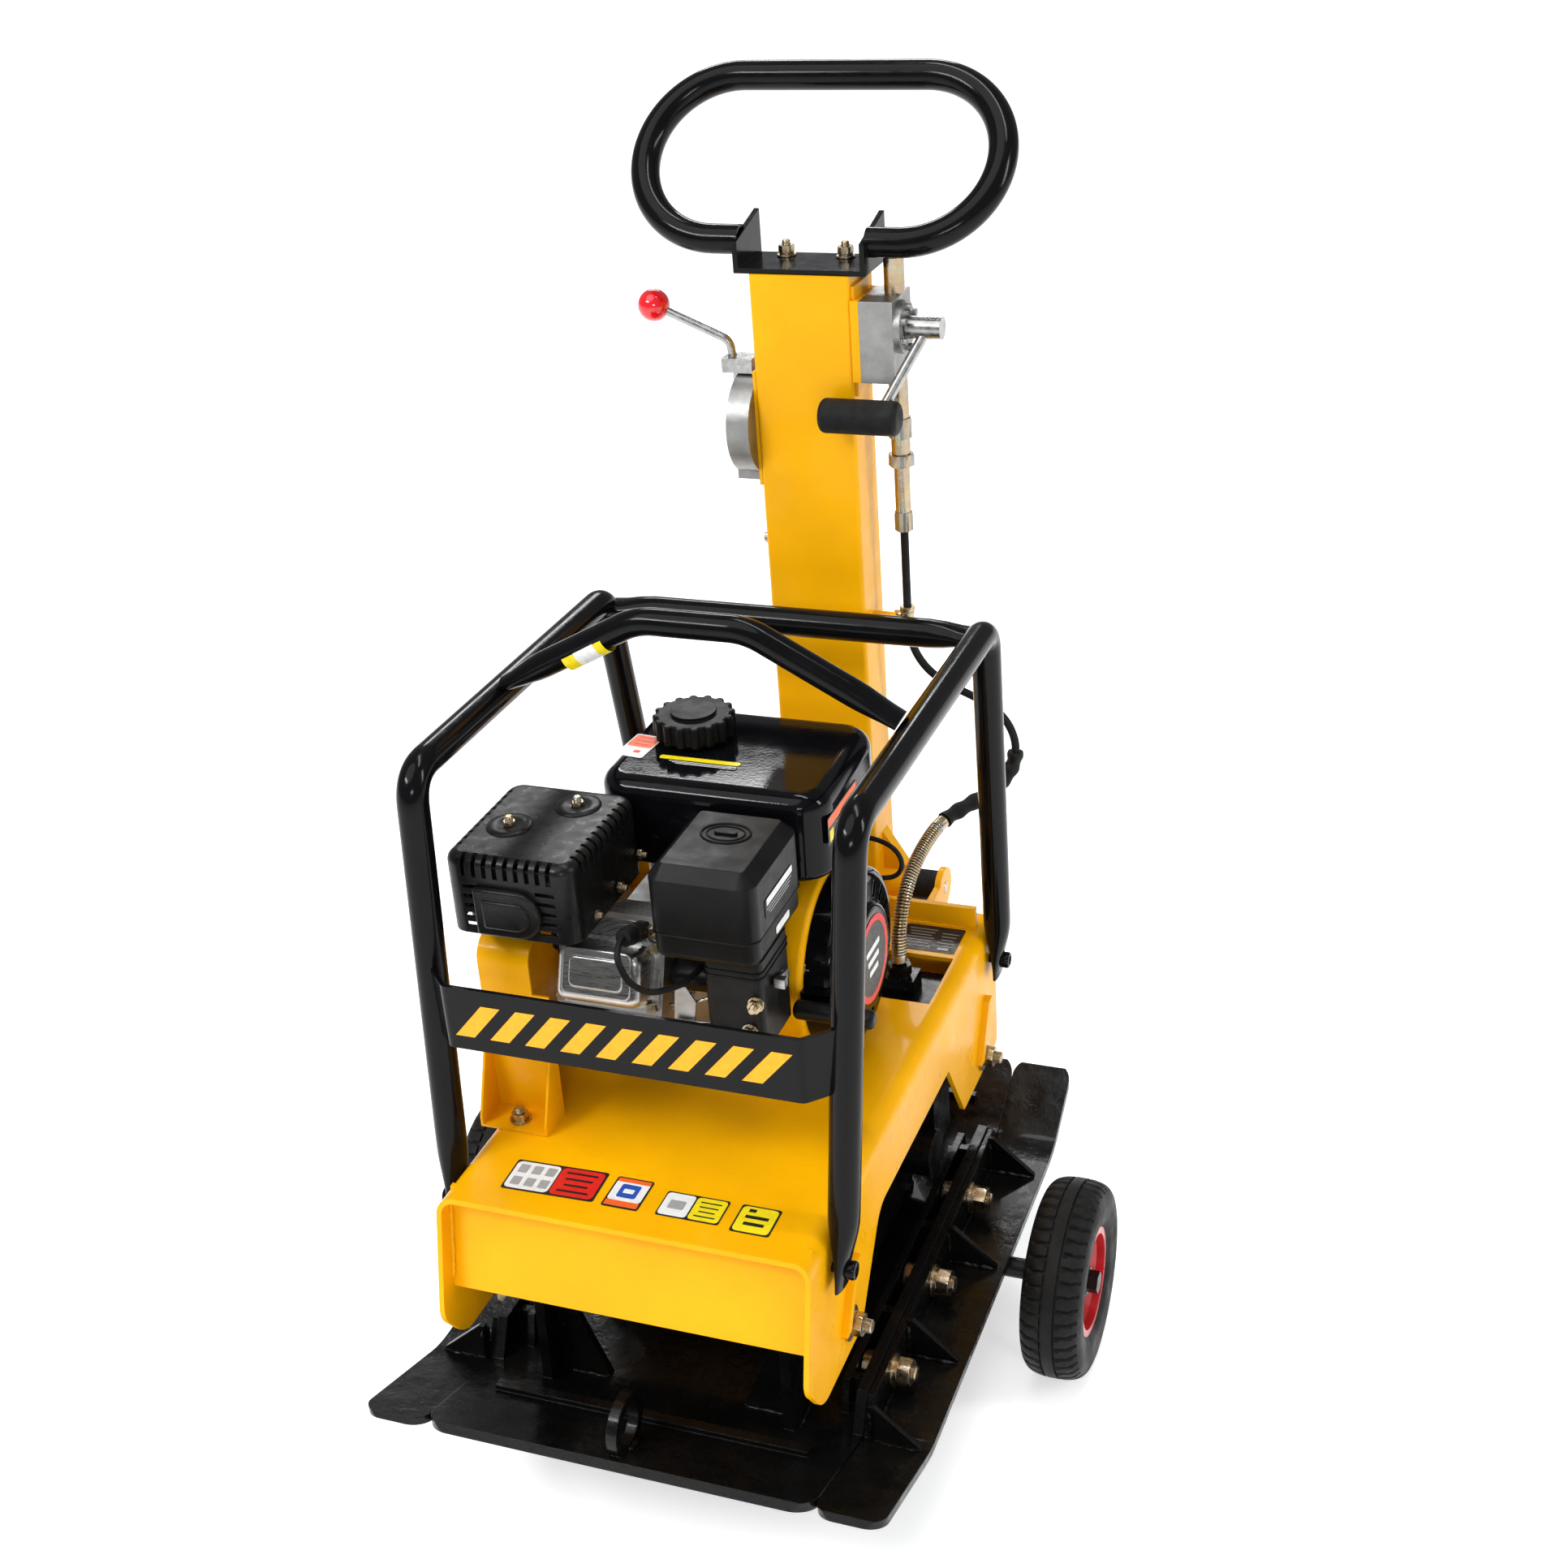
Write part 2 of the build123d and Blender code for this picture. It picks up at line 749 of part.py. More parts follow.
with BuildPart() as deck_bolts:
    for x_side in (-1, 1):
        for y, z in (mount_front, mount_rear):
            outer = deck_half_width
            low, high = sorted((x_side * deck_inner, x_side * (outer + 26)))
            rod_x(low, high, y, z, 8)
            low, high = sorted((x_side * outer, x_side * (outer + 3)))
            rod_x(low, high, y, z, 15)
            low, high = sorted((x_side * (outer + 3), x_side * (outer + 18)))
            hexagon_x(low, high, y, z, 24)
    for x_side in (-1, 1):
        for y in (-280, 334.5):
            outer = deck_half_width + 7
            low, high = sorted((x_side * deck_half_width, x_side * outer))
            rod_x(low, high, y, 270, 6)
            low, high = sorted((x_side * outer, x_side * (outer + 12)))
            rod_x(low, high, y, 270, 9.5)
    rod_x(-139, 139, hinge_y, hinge_z, hinge_pin_radius)
    foot_bolt = (-182, -195)
    rod_z(*foot_bolt, 317, 320, 12)
    hexagon_z(*foot_bolt, 320, 330, 17)
save(deck_bolts, "deck_bolts")

# -------------------------------------------------------------------- engine

with BuildPart() as crankcase:
    block(-128, 60, -62, 138, engine_floor, engine_floor + 12)
    block(-118, 60, -33, 125, engine_floor + 5, 500)
    fillet(edges().filter_by(Axis.X).group_by(Axis.Z)[-1], 16)
    block(-106, 48, -21, 113, 340, 486, Mode.SUBTRACT)
    block(-12, 4, 46, 58, 495, 548)
    rod_x(-125, -118, crank_y, crank_z, 42)
    rod_x(-126, 62, crank_y, crank_z, 12.5 + running_gap, Mode.SUBTRACT)
save(crankcase, "crankcase")

tilt = radians(cylinder_tilt)
cylinder_plane = Plane(
    origin=at(cylinder_x, crank_y, crank_z), x_dir=(1, 0, 0), z_dir=(0, -cos(tilt), sin(tilt))
)
head_start = 172.0
head_end = 200.0

with BuildPart() as cylinder:
    with BuildSketch(cylinder_plane.offset(60)):
        RectangleRounded(92, 92, 8)
    extrude(amount=head_start - 60)
    fin_pitch = 8.0
    for step in range(10):
        with BuildSketch(cylinder_plane.offset(93 + fin_pitch * step)):
            RectangleRounded(116, 108, 12)
        extrude(amount=2.6)
    with BuildSketch(cylinder_plane.offset(head_start)):
        RectangleRounded(124, 108, 10)
    extrude(amount=head_end - head_start)
    block(-160, 64, -33, 160, 380, 600, Mode.SUBTRACT)
save(cylinder, "cylinder")

with BuildPart() as valve_cover:
    with BuildSketch(cylinder_plane.offset(head_end)):
        with Locations((0, -5)):
            RectangleRounded(118, 78, 10)
    extrude(amount=4)
    with BuildSketch(cylinder_plane.offset(head_end + 4)):
        with Locations((0, -5)):
            RectangleRounded(106, 68, 16)
    extrude(amount=32, taper=10)
    fillet(faces().sort_by(Axis.Y)[0].edges(), 10)
save(valve_cover, "valve_cover")

lead_route = [
    (-39, -160, 557.6),
    (-39, -186, 567),
    (-36, -204, 556),
    (-24, -208, 530),
    (-6, -196, 512),
    (18, -170, 509),
    (30, -130, 512),
    (34, -90, 512),
    (44, -60, 496),
    (fan_back - 4, -42, 478),
]
with BuildPart() as spark_plug:
    plug_place = Location((36, 46))
    with BuildSketch(cylinder_plane.offset(head_end)):
        with Locations(plug_place):
            RegularPolygon(radius=10.5, side_count=6)
    extrude(amount=12)
    with BuildSketch(cylinder_plane.offset(head_end + 12)):
        with Locations(plug_place):
            Circle(7)
    extrude(amount=22)
    with BuildSketch(cylinder_plane.offset(head_end + 16)):
        with Locations(plug_place):
            Circle(10)
    extrude(amount=34)
    lead = cord_line(lead_route)
    with BuildSketch(Plane(origin=lead @ 0, z_dir=lead % 0)):
        Circle(3.5)
    sweep(path=lead)
save(spark_plug, "spark_plug")

shield_left, shield_right = -231.0, -80.0
shield_front, shield_rear = -200.0, -24.5
shield_bottom, shield_top = 560.0, 652.0
muffler_centre = (-156, -112)
exhaust_x = cylinder_x - 73.5
with BuildPart() as muffler:
    with BuildSketch(level(shield_bottom + 6)):
        with Locations(muffler_centre):
            RectangleRounded(130, 150, 26)
    extrude(amount=70)
    with BuildSketch(level(shield_bottom + 8)):
        with Locations(muffler_centre):
            RectangleRounded(126, 146, 24)
    extrude(amount=66, mode=Mode.SUBTRACT)
    rod_z(exhaust_x, -112, 500, shield_bottom + 8, 10)
    rod_x(exhaust_x, cylinder_x - 62, -112, 500, 10)
save(muffler, "muffler")

with BuildPart() as muffler_shield:
    centre = ((shield_left + shield_right) / 2, (shield_front + shield_rear) / 2)
    width = shield_right - shield_left
    depth = shield_rear - shield_front
    with BuildSketch(level(shield_bottom)):
        with Locations(centre):
            RectangleRounded(width, depth, 20)
    extrude(amount=shield_top - shield_bottom)
    fillet(faces().sort_by(Axis.Z)[-1].edges(), 12)
    with BuildSketch(level(shield_bottom)):
        with Locations(centre):
            RectangleRounded(width - 5, depth - 5, 17.5)
    extrude(amount=shield_top - shield_bottom - 6, mode=Mode.SUBTRACT)
    for step in range(9):
        x = shield_left + 25 + step * 12.4
        y = shield_front
        block(x - 2.6, x + 2.6, y - 5, y + 12, shield_top - 23, shield_top + 5, Mode.SUBTRACT)
    for step in range(10):
        y = shield_front + 28 + step * 13.4
        z = shield_top - 20
        for x in (shield_left, shield_right):
            block(x - 12, x + 12, y - 2.4, y + 2.4, z, shield_top + 5, Mode.SUBTRACT)
    for step in range(5):
        z = shield_bottom + 9 + step * 11.5
        for x in (shield_left + 33, shield_right - 33):
            block(x - 11, x + 11, shield_front - 5, shield_front + 10, z, z + 5, Mode.SUBTRACT)
save(muffler_shield, "muffler_shield")

cleaner_centre = (52, -108)
cleaner_seam = 576.0
cleaner_top = 655.0
with BuildPart() as air_cleaner_cover:
    with BuildSketch(level(cleaner_seam)):
        with Locations(cleaner_centre):
            RectangleRounded(120, 144, 18)
    extrude(amount=cleaner_top - cleaner_seam)
    chamfer(faces().sort_by(Axis.Z)[-1].edges(), 14)
    with BuildSketch(level(cleaner_seam)):
        with Locations(cleaner_centre):
            RectangleRounded(112, 136, 14)
    extrude(amount=58, mode=Mode.SUBTRACT)
save(air_cleaner_cover, "air_cleaner_cover")

with BuildPart() as air_cleaner_base:
    with BuildSketch(level(cleaner_seam - 31)):
        with Locations(cleaner_centre):
            RectangleRounded(117, 141, 16)
    extrude(amount=31)
    fillet(faces().sort_by(Axis.Z)[0].edges(), 10)
    with BuildSketch(level(cleaner_seam)):
        with Locations(cleaner_centre):
            RectangleRounded(90, 108, 14)
    extrude(amount=52)
save(air_cleaner_base, "air_cleaner_base")

carburettor_centre = (75, -122)
carburettor_face = 108.0
with BuildPart() as carburettor:
    with BuildSketch(level(436)):
        with Locations(carburettor_centre):
            RectangleRounded(66, 85, 10)
    extrude(amount=cleaner_seam - 31 - 436)
    rod_x(cylinder_x + 62, 44, -112, 486, 17)
    rod_z(70, -118, 418, 436, 18)
save(carburettor, "carburettor")

choke_pivot = (-104.0, 498.0)
with BuildPart() as choke_lever:
    rod_x(carburettor_face + 0.3, carburettor_face + 6, *choke_pivot, 6)
    y, z = choke_pivot
    low, high = carburettor_face + 3, carburettor_face + 6
    outline_x(low, high, [(y - 5, z - 5), (y - 30, z + 4), (y - 30, z + 13), (y + 5, z + 5)])
    block(low, carburettor_face + 15, y - 33, y - 24, z + 3, z + 14)
save(choke_lever, "choke_lever")

tank_centre = (-2, 80)
tank_width, tank_depth = 267.0, 204.0
tank_bottom, tank_top = 560.0, 664.0
with BuildPart() as fuel_tank:
    with BuildSketch(level(tank_bottom)):
        with Locations(tank_centre):
            RectangleRounded(tank_width, tank_depth, 38)
    extrude(amount=tank_top - tank_bottom)
    fillet(faces().sort_by(Axis.Z)[-1].edges(), 20)
    fillet(faces().sort_by(Axis.Z)[0].edges(), 10)
    rod_z(-60, 100, tank_top - 8, tank_top + 6, 34)
    with BuildSketch(level(tank_bottom + 6)):
        with Locations(tank_centre):
            RectangleRounded(tank_width - 12, tank_depth - 12, 32)
    extrude(amount=tank_top - tank_bottom - 14, mode=Mode.SUBTRACT)
    for x in (-70, 44):
        block(x - 14, x + 14, 60, 88, 500, tank_bottom + 2)
save(fuel_tank, "fuel_tank")

with BuildPart() as fuel_cap:
    with BuildSketch(level(tank_top + 6.3)):
        with Locations((-60, 100)):
            Circle(42)
            with PolarLocations(42, 16):
                Circle(5)
    extrude(amount=24)
    fillet(faces().sort_by(Axis.Z)[-1].edges(), 2)
    rod_z(-60, 100, tank_top + 29, tank_top + 34, 26)
save(fuel_cap, "fuel_cap")

with BuildPart() as blower_housing:
    rod_x(fan_back, fan_face, crank_y, crank_z, blower_radius)
    fillet(edges().filter_by(GeomType.CIRCLE).sort_by(Axis.X)[-1], 6)
    rod_x(fan_back + 3, fan_face, crank_y, crank_z, blower_radius - 8, Mode.SUBTRACT)
    rod_x(fan_back, fan_back + 3, crank_y, crank_z, 30, Mode.SUBTRACT)
save(blower_housing, "blower_housing")

guide_y = -68.0
grip_z = 440.0
with BuildPart() as recoil_housing:
    rod_x(fan_face, recoil_face, crank_y, crank_z, recoil_radius)
    fillet(edges().filter_by(GeomType.CIRCLE).sort_by(Axis.X)[-1], 14)
    rod_x(recoil_face - 4, recoil_face + 8, crank_y, crank_z, 64)
    fillet(edges().filter_by(GeomType.CIRCLE).sort_by(Axis.X)[-1], 6)
    block(fan_face, recoil_face + 20, guide_y, guide_y + 28, grip_z - 12, grip_z + 12)
    rod_x(fan_face, recoil_face - 8, crank_y, crank_z, recoil_radius - 7, Mode.SUBTRACT)
    with BuildSketch(side(recoil_face - 12)):
        with Locations((crank_y, crank_z)):
            with PolarLocations(79, 18):
                Rectangle(20, 8)
    extrude(amount=20, mode=Mode.SUBTRACT)
    block(144, 168, guide_y - 1, guide_y + 48, grip_z - 8, grip_z + 8, Mode.SUBTRACT)
save(recoil_housing, "recoil_housing")

with BuildPart() as starter_grip:
    rod_x(110, 202, guide_y - 14, grip_z, 11)
    fillet(edges().filter_by(GeomType.CIRCLE), 6)
    block(148, 164, guide_y - 14, guide_y - 0.4, grip_z - 7, grip_z + 7)
save(starter_grip, "starter_grip")

with BuildPart() as crankshaft:
    rod_x(-205, 130, crank_y, crank_z, 12.5)
    for x in (-82, -50):
        rod_x(x, x + 12, crank_y - 6, crank_z, 38)
    rod_x(-70, -50, crank_y + 20, crank_z, 14)
    with BuildSketch(side(76)):
        with Locations((crank_y, crank_z)):
            Circle(72)
            with PolarLocations(78, 20):
                Rectangle(16, 3)
    extrude(amount=34)
save(crankshaft, "crankshaft")

save(pulley(crank_y, crank_z, clutch_radius, 12.5 + running_gap), "clutch_pulley")

with BuildPart() as drive_belt:
    belt_half_width = 5.3
    belt_layer = 8.5
    for lift, mode in ((belt_layer + 0.4, Mode.ADD), (0.4, Mode.SUBTRACT)):
        with BuildSketch(side(belt_x - belt_half_width)):
            with Locations((crank_y, crank_z)):
                Circle(clutch_radius - belt_depth + lift)
            with Locations((front_shaft_y, shaft_height)):
                Circle(pulley_radius - belt_depth + lift)
            make_hull()
        extrude(amount=2 * belt_half_width, mode=mode)
save(drive_belt, "drive_belt")

cover_left, cover_right = -222.0, -160.0
with BuildPart() as belt_cover:
    cover = [(-172, deck_top), (-172, 530), (130, 530), (152, 480), (152, deck_top)]
    outline_x(cover_left, cover_right, cover, [0.5, 26, 26, 40, 0.5])
    inner = [(-169, deck_top - 5), (-169, 527), (127, 527), (149, 480), (149, deck_top - 5)]
    outline_x(cover_left + 3, cover_right + 5, inner, [0.5, 23, 23, 40, 0.5], Mode.SUBTRACT)
    block(cover_right, -140, -172, -169, deck_top, 470)
    block(cover_left, -140, -214, -169, deck_top, deck_top + 3)
    for x in (cover_left, -143):
        outline_x(x, x + 3, [(-170, 315), (-214, 315), (-214, 326), (-170, 440)])
    rod_z(-182, -195, deck_top - 1, deck_top + 4, 6, Mode.SUBTRACT)
save(belt_cover, "belt_cover")

# ---------------------------------------------------------------------- pole

with BuildPart() as pole:
    block(-pole_half_width, pole_half_width, pole_front, pole_rear, pole_bottom, pole_top)
    fillet(edges().filter_by(Axis.Z), 5)
    inner = pole_half_width - pole_wall
    block(
        -inner,
        inner,
        pole_front + pole_wall,
        pole_rear - pole_wall,
        pole_bottom + pole_wall,
        pole_top - pole_wall,
        Mode.SUBTRACT,
    )
    rod_x(-93, 93, hinge_y, hinge_z, 25)
    for x_side in (-1, 1):
        with BuildSketch(front(hinge_y + 9)):
            with BuildLine():
                Polyline(
                    (x_side * (pole_half_width - 2), hinge_z),
                    (x_side * 92, hinge_z),
                    (x_side * 92, hinge_z + 26),
                    (x_side * (pole_half_width - 2), hinge_z + 80),
                    close=True,
                )
            make_face()
        extrude(amount=18)
    block(60, 64, 364, 430, 985, 1112)
    block(60, pump_x - 30, 358, 428, 1003, 1097)
    block(-64, -60, 360, 428, 872, 1010)
    rod_x(58, 88, throttle_y, 700, 6)
    rod_x(-94, 94, hinge_y, hinge_z, hinge_pin_radius + running_gap, Mode.SUBTRACT)
    for x in (-36, 36):
        rod_z(x, 424, pole_top - 10, pole_top + 1, 5.2, Mode.SUBTRACT)
save(pole, "pole")

with BuildPart() as hinge_bushes:
    for low, high in ((-130.7, -93.3), (93.3, 130.7)):
        rod_x(low, high, hinge_y, hinge_z, 20)
        rod_x(low, high, hinge_y, hinge_z, hinge_pin_radius + running_gap, Mode.SUBTRACT)
save(hinge_bushes, "hinge_bushes")

with BuildPart() as handle_loop:
    block(-79, 79, 362, 440, pole_top, pole_top + 6)
    for low, high in ((-79, -73), (73, 79)):
        outline_x(low, high, [(362, 1124), (362, 1160), (440, 1180), (440, 1124)])
    lean = radians(loop_lean)
    loop_plane = Plane(
        origin=at(0, *loop_start), x_dir=(1, 0, 0), z_dir=(0, -cos(lean), sin(lean))
    )
    with BuildLine(loop_plane) as loop_line:
        Line((-76, 0), (-loop_half_straight, 0))
        JernArc((-loop_half_straight, 0), (-1, 0), loop_bend, -180)
        Line((-loop_half_straight, 2 * loop_bend), (loop_half_straight, 2 * loop_bend))
        JernArc((loop_half_straight, 2 * loop_bend), (1, 0), loop_bend, -180)
        Line((loop_half_straight, 0), (76, 0))
    with BuildSketch(Plane(origin=loop_plane.from_local_coords((-76, 0)), z_dir=(-1, 0, 0))):
        Circle(loop_tube)
        Circle(loop_tube - guard_wall, mode=Mode.SUBTRACT)
    sweep(path=loop_line.wires()[0])
    for x in (-36, 36):
        rod_z(x, 424, pole_top - 1, pole_top + 8, 5.2, Mode.SUBTRACT)
save(handle_loop, "handle_loop")

with BuildPart() as handle_bolts:
    for x in (-36, 36):
        rod_z(x, 424, pole_top - 3.5, pole_top + 6, 5)
        rod_z(x, 424, pole_top + 6, pole_top + 8, 11)
        hexagon_z(x, 424, pole_top + 8, pole_top + 15, 17)
    rod_x(-63, -60, 384, 797, 9)
    hexagon_x(-72, -63, 384, 797, 13)
save(handle_bolts, "handle_bolts")

with BuildPart() as throttle_quadrant:
    rod_x(-92, -64, throttle_y, throttle_z, 60)
    block(-96, -60, 320, 470, 1001, 1010, Mode.SUBTRACT)
    block(-96, -63, throttle_y + 30, 470, 860, 1010, Mode.SUBTRACT)
    block(-96, -64, 372, 424, 874, 892)
    rod_x(-93, -63, throttle_y, throttle_z, 8 + running_gap, Mode.SUBTRACT)
save(throttle_quadrant, "throttle_quadrant")

knob_centre = (-196.0, 394.0, 1075.0)
with BuildPart() as throttle_lever:
    rod_x(-98, -66, throttle_y, throttle_z, 8)
    rod_x(-98, -92.4, throttle_y, throttle_z, 16)
    block(-98, -92.4, throttle_y - 9, throttle_y + 9, throttle_z, 1002)
    block(-110, -72, throttle_y - 14, throttle_y + 14, 1001, 1018)
    with BuildLine():
        path = FilletPolyline(
            at(-100, throttle_y, 1012),
            at(-103, throttle_y, 1036),
            at(*knob_centre),
            radius=16,
        )
    with BuildSketch(Plane(origin=path @ 0, z_dir=path % 0)):
        Circle(5)
    sweep(path=path)
save(throttle_lever, "throttle_lever")

with BuildPart() as throttle_knob:
    socket = Plane(origin=path @ 1, z_dir=path % 1)
    with Locations(socket.location):
        Sphere(19)
    with BuildSketch(socket.offset(-24)):
        Circle(5 + running_gap)
    extrude(amount=25, mode=Mode.SUBTRACT)
save(throttle_knob, "throttle_knob")

# ----------------------------------------------------------------- hand pump

rack_radius = 8.0
with BuildPart() as pump_block:
    block(pump_x - 30, pump_x + 10, 358, 428, pump_bottom, pump_top)
    rod_z(pump_x, pump_y, pump_bottom - 1, pump_top + 1, rack_radius + running_gap, Mode.SUBTRACT)
    rod_x(84, 111, lever_y, lever_z, 15, Mode.SUBTRACT)
    with BuildSketch(side(pump_x + 10)):
        with Locations((lever_y, lever_z)):
            Circle(30)
            Circle(9, mode=Mode.SUBTRACT)
    extrude(amount=8)
    for step in range(6):
        angle = radians(60 * step + 30)
        y = lever_y + 23 * cos(angle)
        z = lever_z + 23 * sin(angle)
        rod_x(pump_x + 17, pump_x + 24, y, z, 4.5)
    rod_z(pump_x, pump_y, pump_top, 1138, 11.5)
    rod_z(pump_x, pump_y, pump_top, 1132, rack_radius + 0.5, Mode.SUBTRACT)
    rod_z(pump_x, pump_y, 948, pump_bottom, 11)
    hexagon_z(pump_x, pump_y, 926, 950, 24)
    rod_z(pump_x, pump_y, 906, 926, 11)
    hexagon_z(pump_x, pump_y, 892, 906, 27)
    rod_z(pump_x, pump_y, 832, 892, 9)
    hexagon_z(pump_x, pump_y, 811, 834, 19)
    rod_z(pump_x, pump_y, 900, pump_bottom, rack_radius + running_gap, Mode.SUBTRACT)
save(pump_block, "pump_block")

rack_face = lever_y + pinion_pitch
with BuildPart() as pump_rack:
    rod_z(pump_x, pump_y, 930, 1112, rack_radius)
    block(pump_x - 10, pump_x + 10, 380, rack_face + 1.8, 1020, 1113, Mode.SUBTRACT)
    for step in range(-4, 5):
        z = lever_z + rack_pitch * (step + 0.5)
        block(pump_x - 5, pump_x + 5, rack_face - 1.2, rack_face + 3, z - 1.5, z + 1.5)
save(pump_rack, "pump_rack")

lever_grip_y, lever_grip_z = 330.0, 972.0
arm_top = at(143, lever_y, lever_z)
arm_foot = at(97, lever_grip_y, lever_grip_z)
arm_plane = Plane(origin=arm_top, z_dir=Vector(*arm_foot) - Vector(*arm_top))
arm_length = (Vector(*arm_foot) - Vector(*arm_top)).length
with BuildPart() as reversing_lever:
    rod_x(86, 150, lever_y, lever_z, 8)
    rod_x(119, 160, lever_y, lever_z, 13)
    toothed_disc(88, 106, lever_y, lever_z, 10.2, 13.6, pinion_teeth, 3.0, 0)
    with BuildSketch(arm_plane):
        Circle(6)
    extrude(amount=arm_length)
    rod_x(35, 117, lever_grip_y, lever_grip_z, 8)
save(reversing_lever, "reversing_lever")

with BuildPart() as reversing_grip:
    rod_x(29, 123, lever_grip_y, lever_grip_z, 20)
    fillet(edges().filter_by(GeomType.CIRCLE), 7)
    rod_x(34.9, 117.1, lever_grip_y, lever_grip_z, 8 + running_gap, Mode.SUBTRACT)
    with BuildSketch(arm_plane):
        Circle(6.2)
    extrude(amount=arm_length, mode=Mode.SUBTRACT)
save(reversing_grip, "reversing_grip")

# ------------------------------------------------------------ hose and cable


def cord(points, radius, name):
    """Free cord as its own solid."""
    line = cord_line(points)
    with BuildPart() as piece:
        with BuildSketch(Plane(origin=line @ 0, z_dir=line % 0)):
            Circle(radius)
        sweep(path=line)
    print(name, "length", round(line.length))
    print(name, "volume / (section x length)", piece.part.volume / (pi * radius**2 * line.length))
    save(piece, name)


hose_route = [
    (100, 402, 699),
    (101, 403, 672),
    (108, 407, 645),
    (124, 410, 622),
    (148, 412, 606),
    (176, 413, 594),
    (203, 413, 581),
    (223, 412, 560),
    (227.5, 411.5, 545),
]
sleeve_route = [
    (227.5, 411.5, 545),
    (232, 411, 530),
    (226, 407, 500),
    (206, 392, 476),
    (178, 365, 465),
    (156, 332, 459),
    (147, 292, 449),
    (142, 252, 435),
    (140, 222, 414),
    (139, 204, 390),
    (139, 194, 362),
    (139, 194, 334),
]
cord(hose_route, 5, "hydraulic_hose")
cord(sleeve_route, 9, "hose_sleeve")

with BuildPart() as hose_upper:
    rod_z(pump_x, pump_y, 700, 811, 5)
save(hose_upper, "hose_upper")

cable_route = [
    (20, 356, 430),
    (20, 334, 432),
    (24, 300, 436),
    (38, 262, 440),
    (62, 228, 443),
    (94, 206, 446),
    (122, 193, 450),
    (146, 184, 462),
    (154, 182, 482),
    (142, 185, 500),
    (114, 194, 504),
    (80, 202, 498),
    (44, 206, 492),
    (10, 202, 490),
    (-14, 180, 496),
    (-22, 148, 512),
    (-16, 118, 530),
    (-4, 90, 540),
    (-4, 58, 540),
]
cord(cable_route, 3, "throttle_cable")

lows = [box.min for box in boxes]
highs = [box.max for box in boxes]
print("X", min(p.X for p in lows), max(p.X for p in highs))
print("Y", min(p.Y for p in lows), max(p.Y for p in highs))
print("Z", min(p.Z for p in lows), max(p.Z for p in highs))
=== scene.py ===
"""Looks of the plate compactor: camera, light, materials and the detail pieces round the CAD frame."""

import math
import random

import bmesh
import bpy
from mathutils import Matrix, Vector


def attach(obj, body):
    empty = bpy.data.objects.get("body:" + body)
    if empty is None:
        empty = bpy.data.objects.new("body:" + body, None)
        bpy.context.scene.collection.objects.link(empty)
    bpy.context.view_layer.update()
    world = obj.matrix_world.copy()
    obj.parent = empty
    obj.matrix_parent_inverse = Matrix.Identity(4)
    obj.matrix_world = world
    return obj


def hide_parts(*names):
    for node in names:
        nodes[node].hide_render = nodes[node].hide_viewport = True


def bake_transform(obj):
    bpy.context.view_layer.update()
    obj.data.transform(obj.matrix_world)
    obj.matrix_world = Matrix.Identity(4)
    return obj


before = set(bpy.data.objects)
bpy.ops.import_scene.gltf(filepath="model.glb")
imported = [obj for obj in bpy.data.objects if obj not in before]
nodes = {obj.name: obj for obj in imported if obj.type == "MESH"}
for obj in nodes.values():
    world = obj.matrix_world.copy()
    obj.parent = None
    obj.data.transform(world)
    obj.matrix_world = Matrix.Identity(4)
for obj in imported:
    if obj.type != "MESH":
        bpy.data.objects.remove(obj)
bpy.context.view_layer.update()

# The machine's datum, under the middle of the exciter bed on the sole, in the row frame.
DATUM = Vector((0.0, -0.05923, 0.135))
MM = 0.001
RIGHT = Vector((1, 0, 0))
BACK = Vector((0, 1, 0))
UP = Vector((0, 0, 1))

# Places of the CAD model that the details hang on, in millimetres from the datum.
DECK_TOP = 314.1
TANK_TOP = 664.1
LID_TOP = 655.0
SHIELD_TOP = 652.0
HOUSING_FACE = 112.0
RECOIL_FACE = 150.0
HUB_FACE = 158.1
CRANK_Y, CRANK_Z = 45, 434
CYLINDER_X = -75
CYLINDER_TILT = math.radians(20)
WHEEL_X, WHEEL_Y, WHEEL_Z = 372, 92, -15
PUMP_X, PUMP_Y = 100, 402
LID_CENTRE = (51, -92)


def at(x, y, z):
    """A point given in millimetres from the machine's datum."""
    return DATUM + Vector((x, y, z)) * MM


def turns(count):
    """Angles that share a full turn evenly."""
    return [2 * math.pi * step / count for step in range(count)]


# ---- camera


def make_camera():
    """Three-quarter view from the front right, slightly rolled, with a normal lens."""
    position = at(855, -1924, 1739)
    azimuth = math.radians(21.85)
    elevation = math.radians(27.27)
    roll = math.radians(-4.085)
    level_back = Vector((math.sin(azimuth), -math.cos(azimuth), 0))
    back = level_back * math.cos(elevation) + UP * math.sin(elevation)
    level_right = (-back).cross(UP).normalized()
    level_up = level_right.cross(-back)
    right = math.cos(roll) * level_right + math.sin(roll) * level_up
    up = -math.sin(roll) * level_right + math.cos(roll) * level_up
    data = bpy.data.cameras.new("camera")
    data.sensor_width = 36.0
    data.lens = 49.88
    data.clip_start = 0.05
    data.clip_end = 200.0
    camera = bpy.data.objects.new("camera", data)
    turn = Matrix((right, up, back)).transposed().to_4x4()
    camera.matrix_world = Matrix.Translation(position) @ turn
    bpy.context.scene.collection.objects.link(camera)
    bpy.context.scene.camera = camera


make_camera()

# ---- materials


def set_inputs(node, values):
    """Sets the values of a shader node's inputs by name."""
    for key, value in values.items():
        node.inputs[key].default_value = value


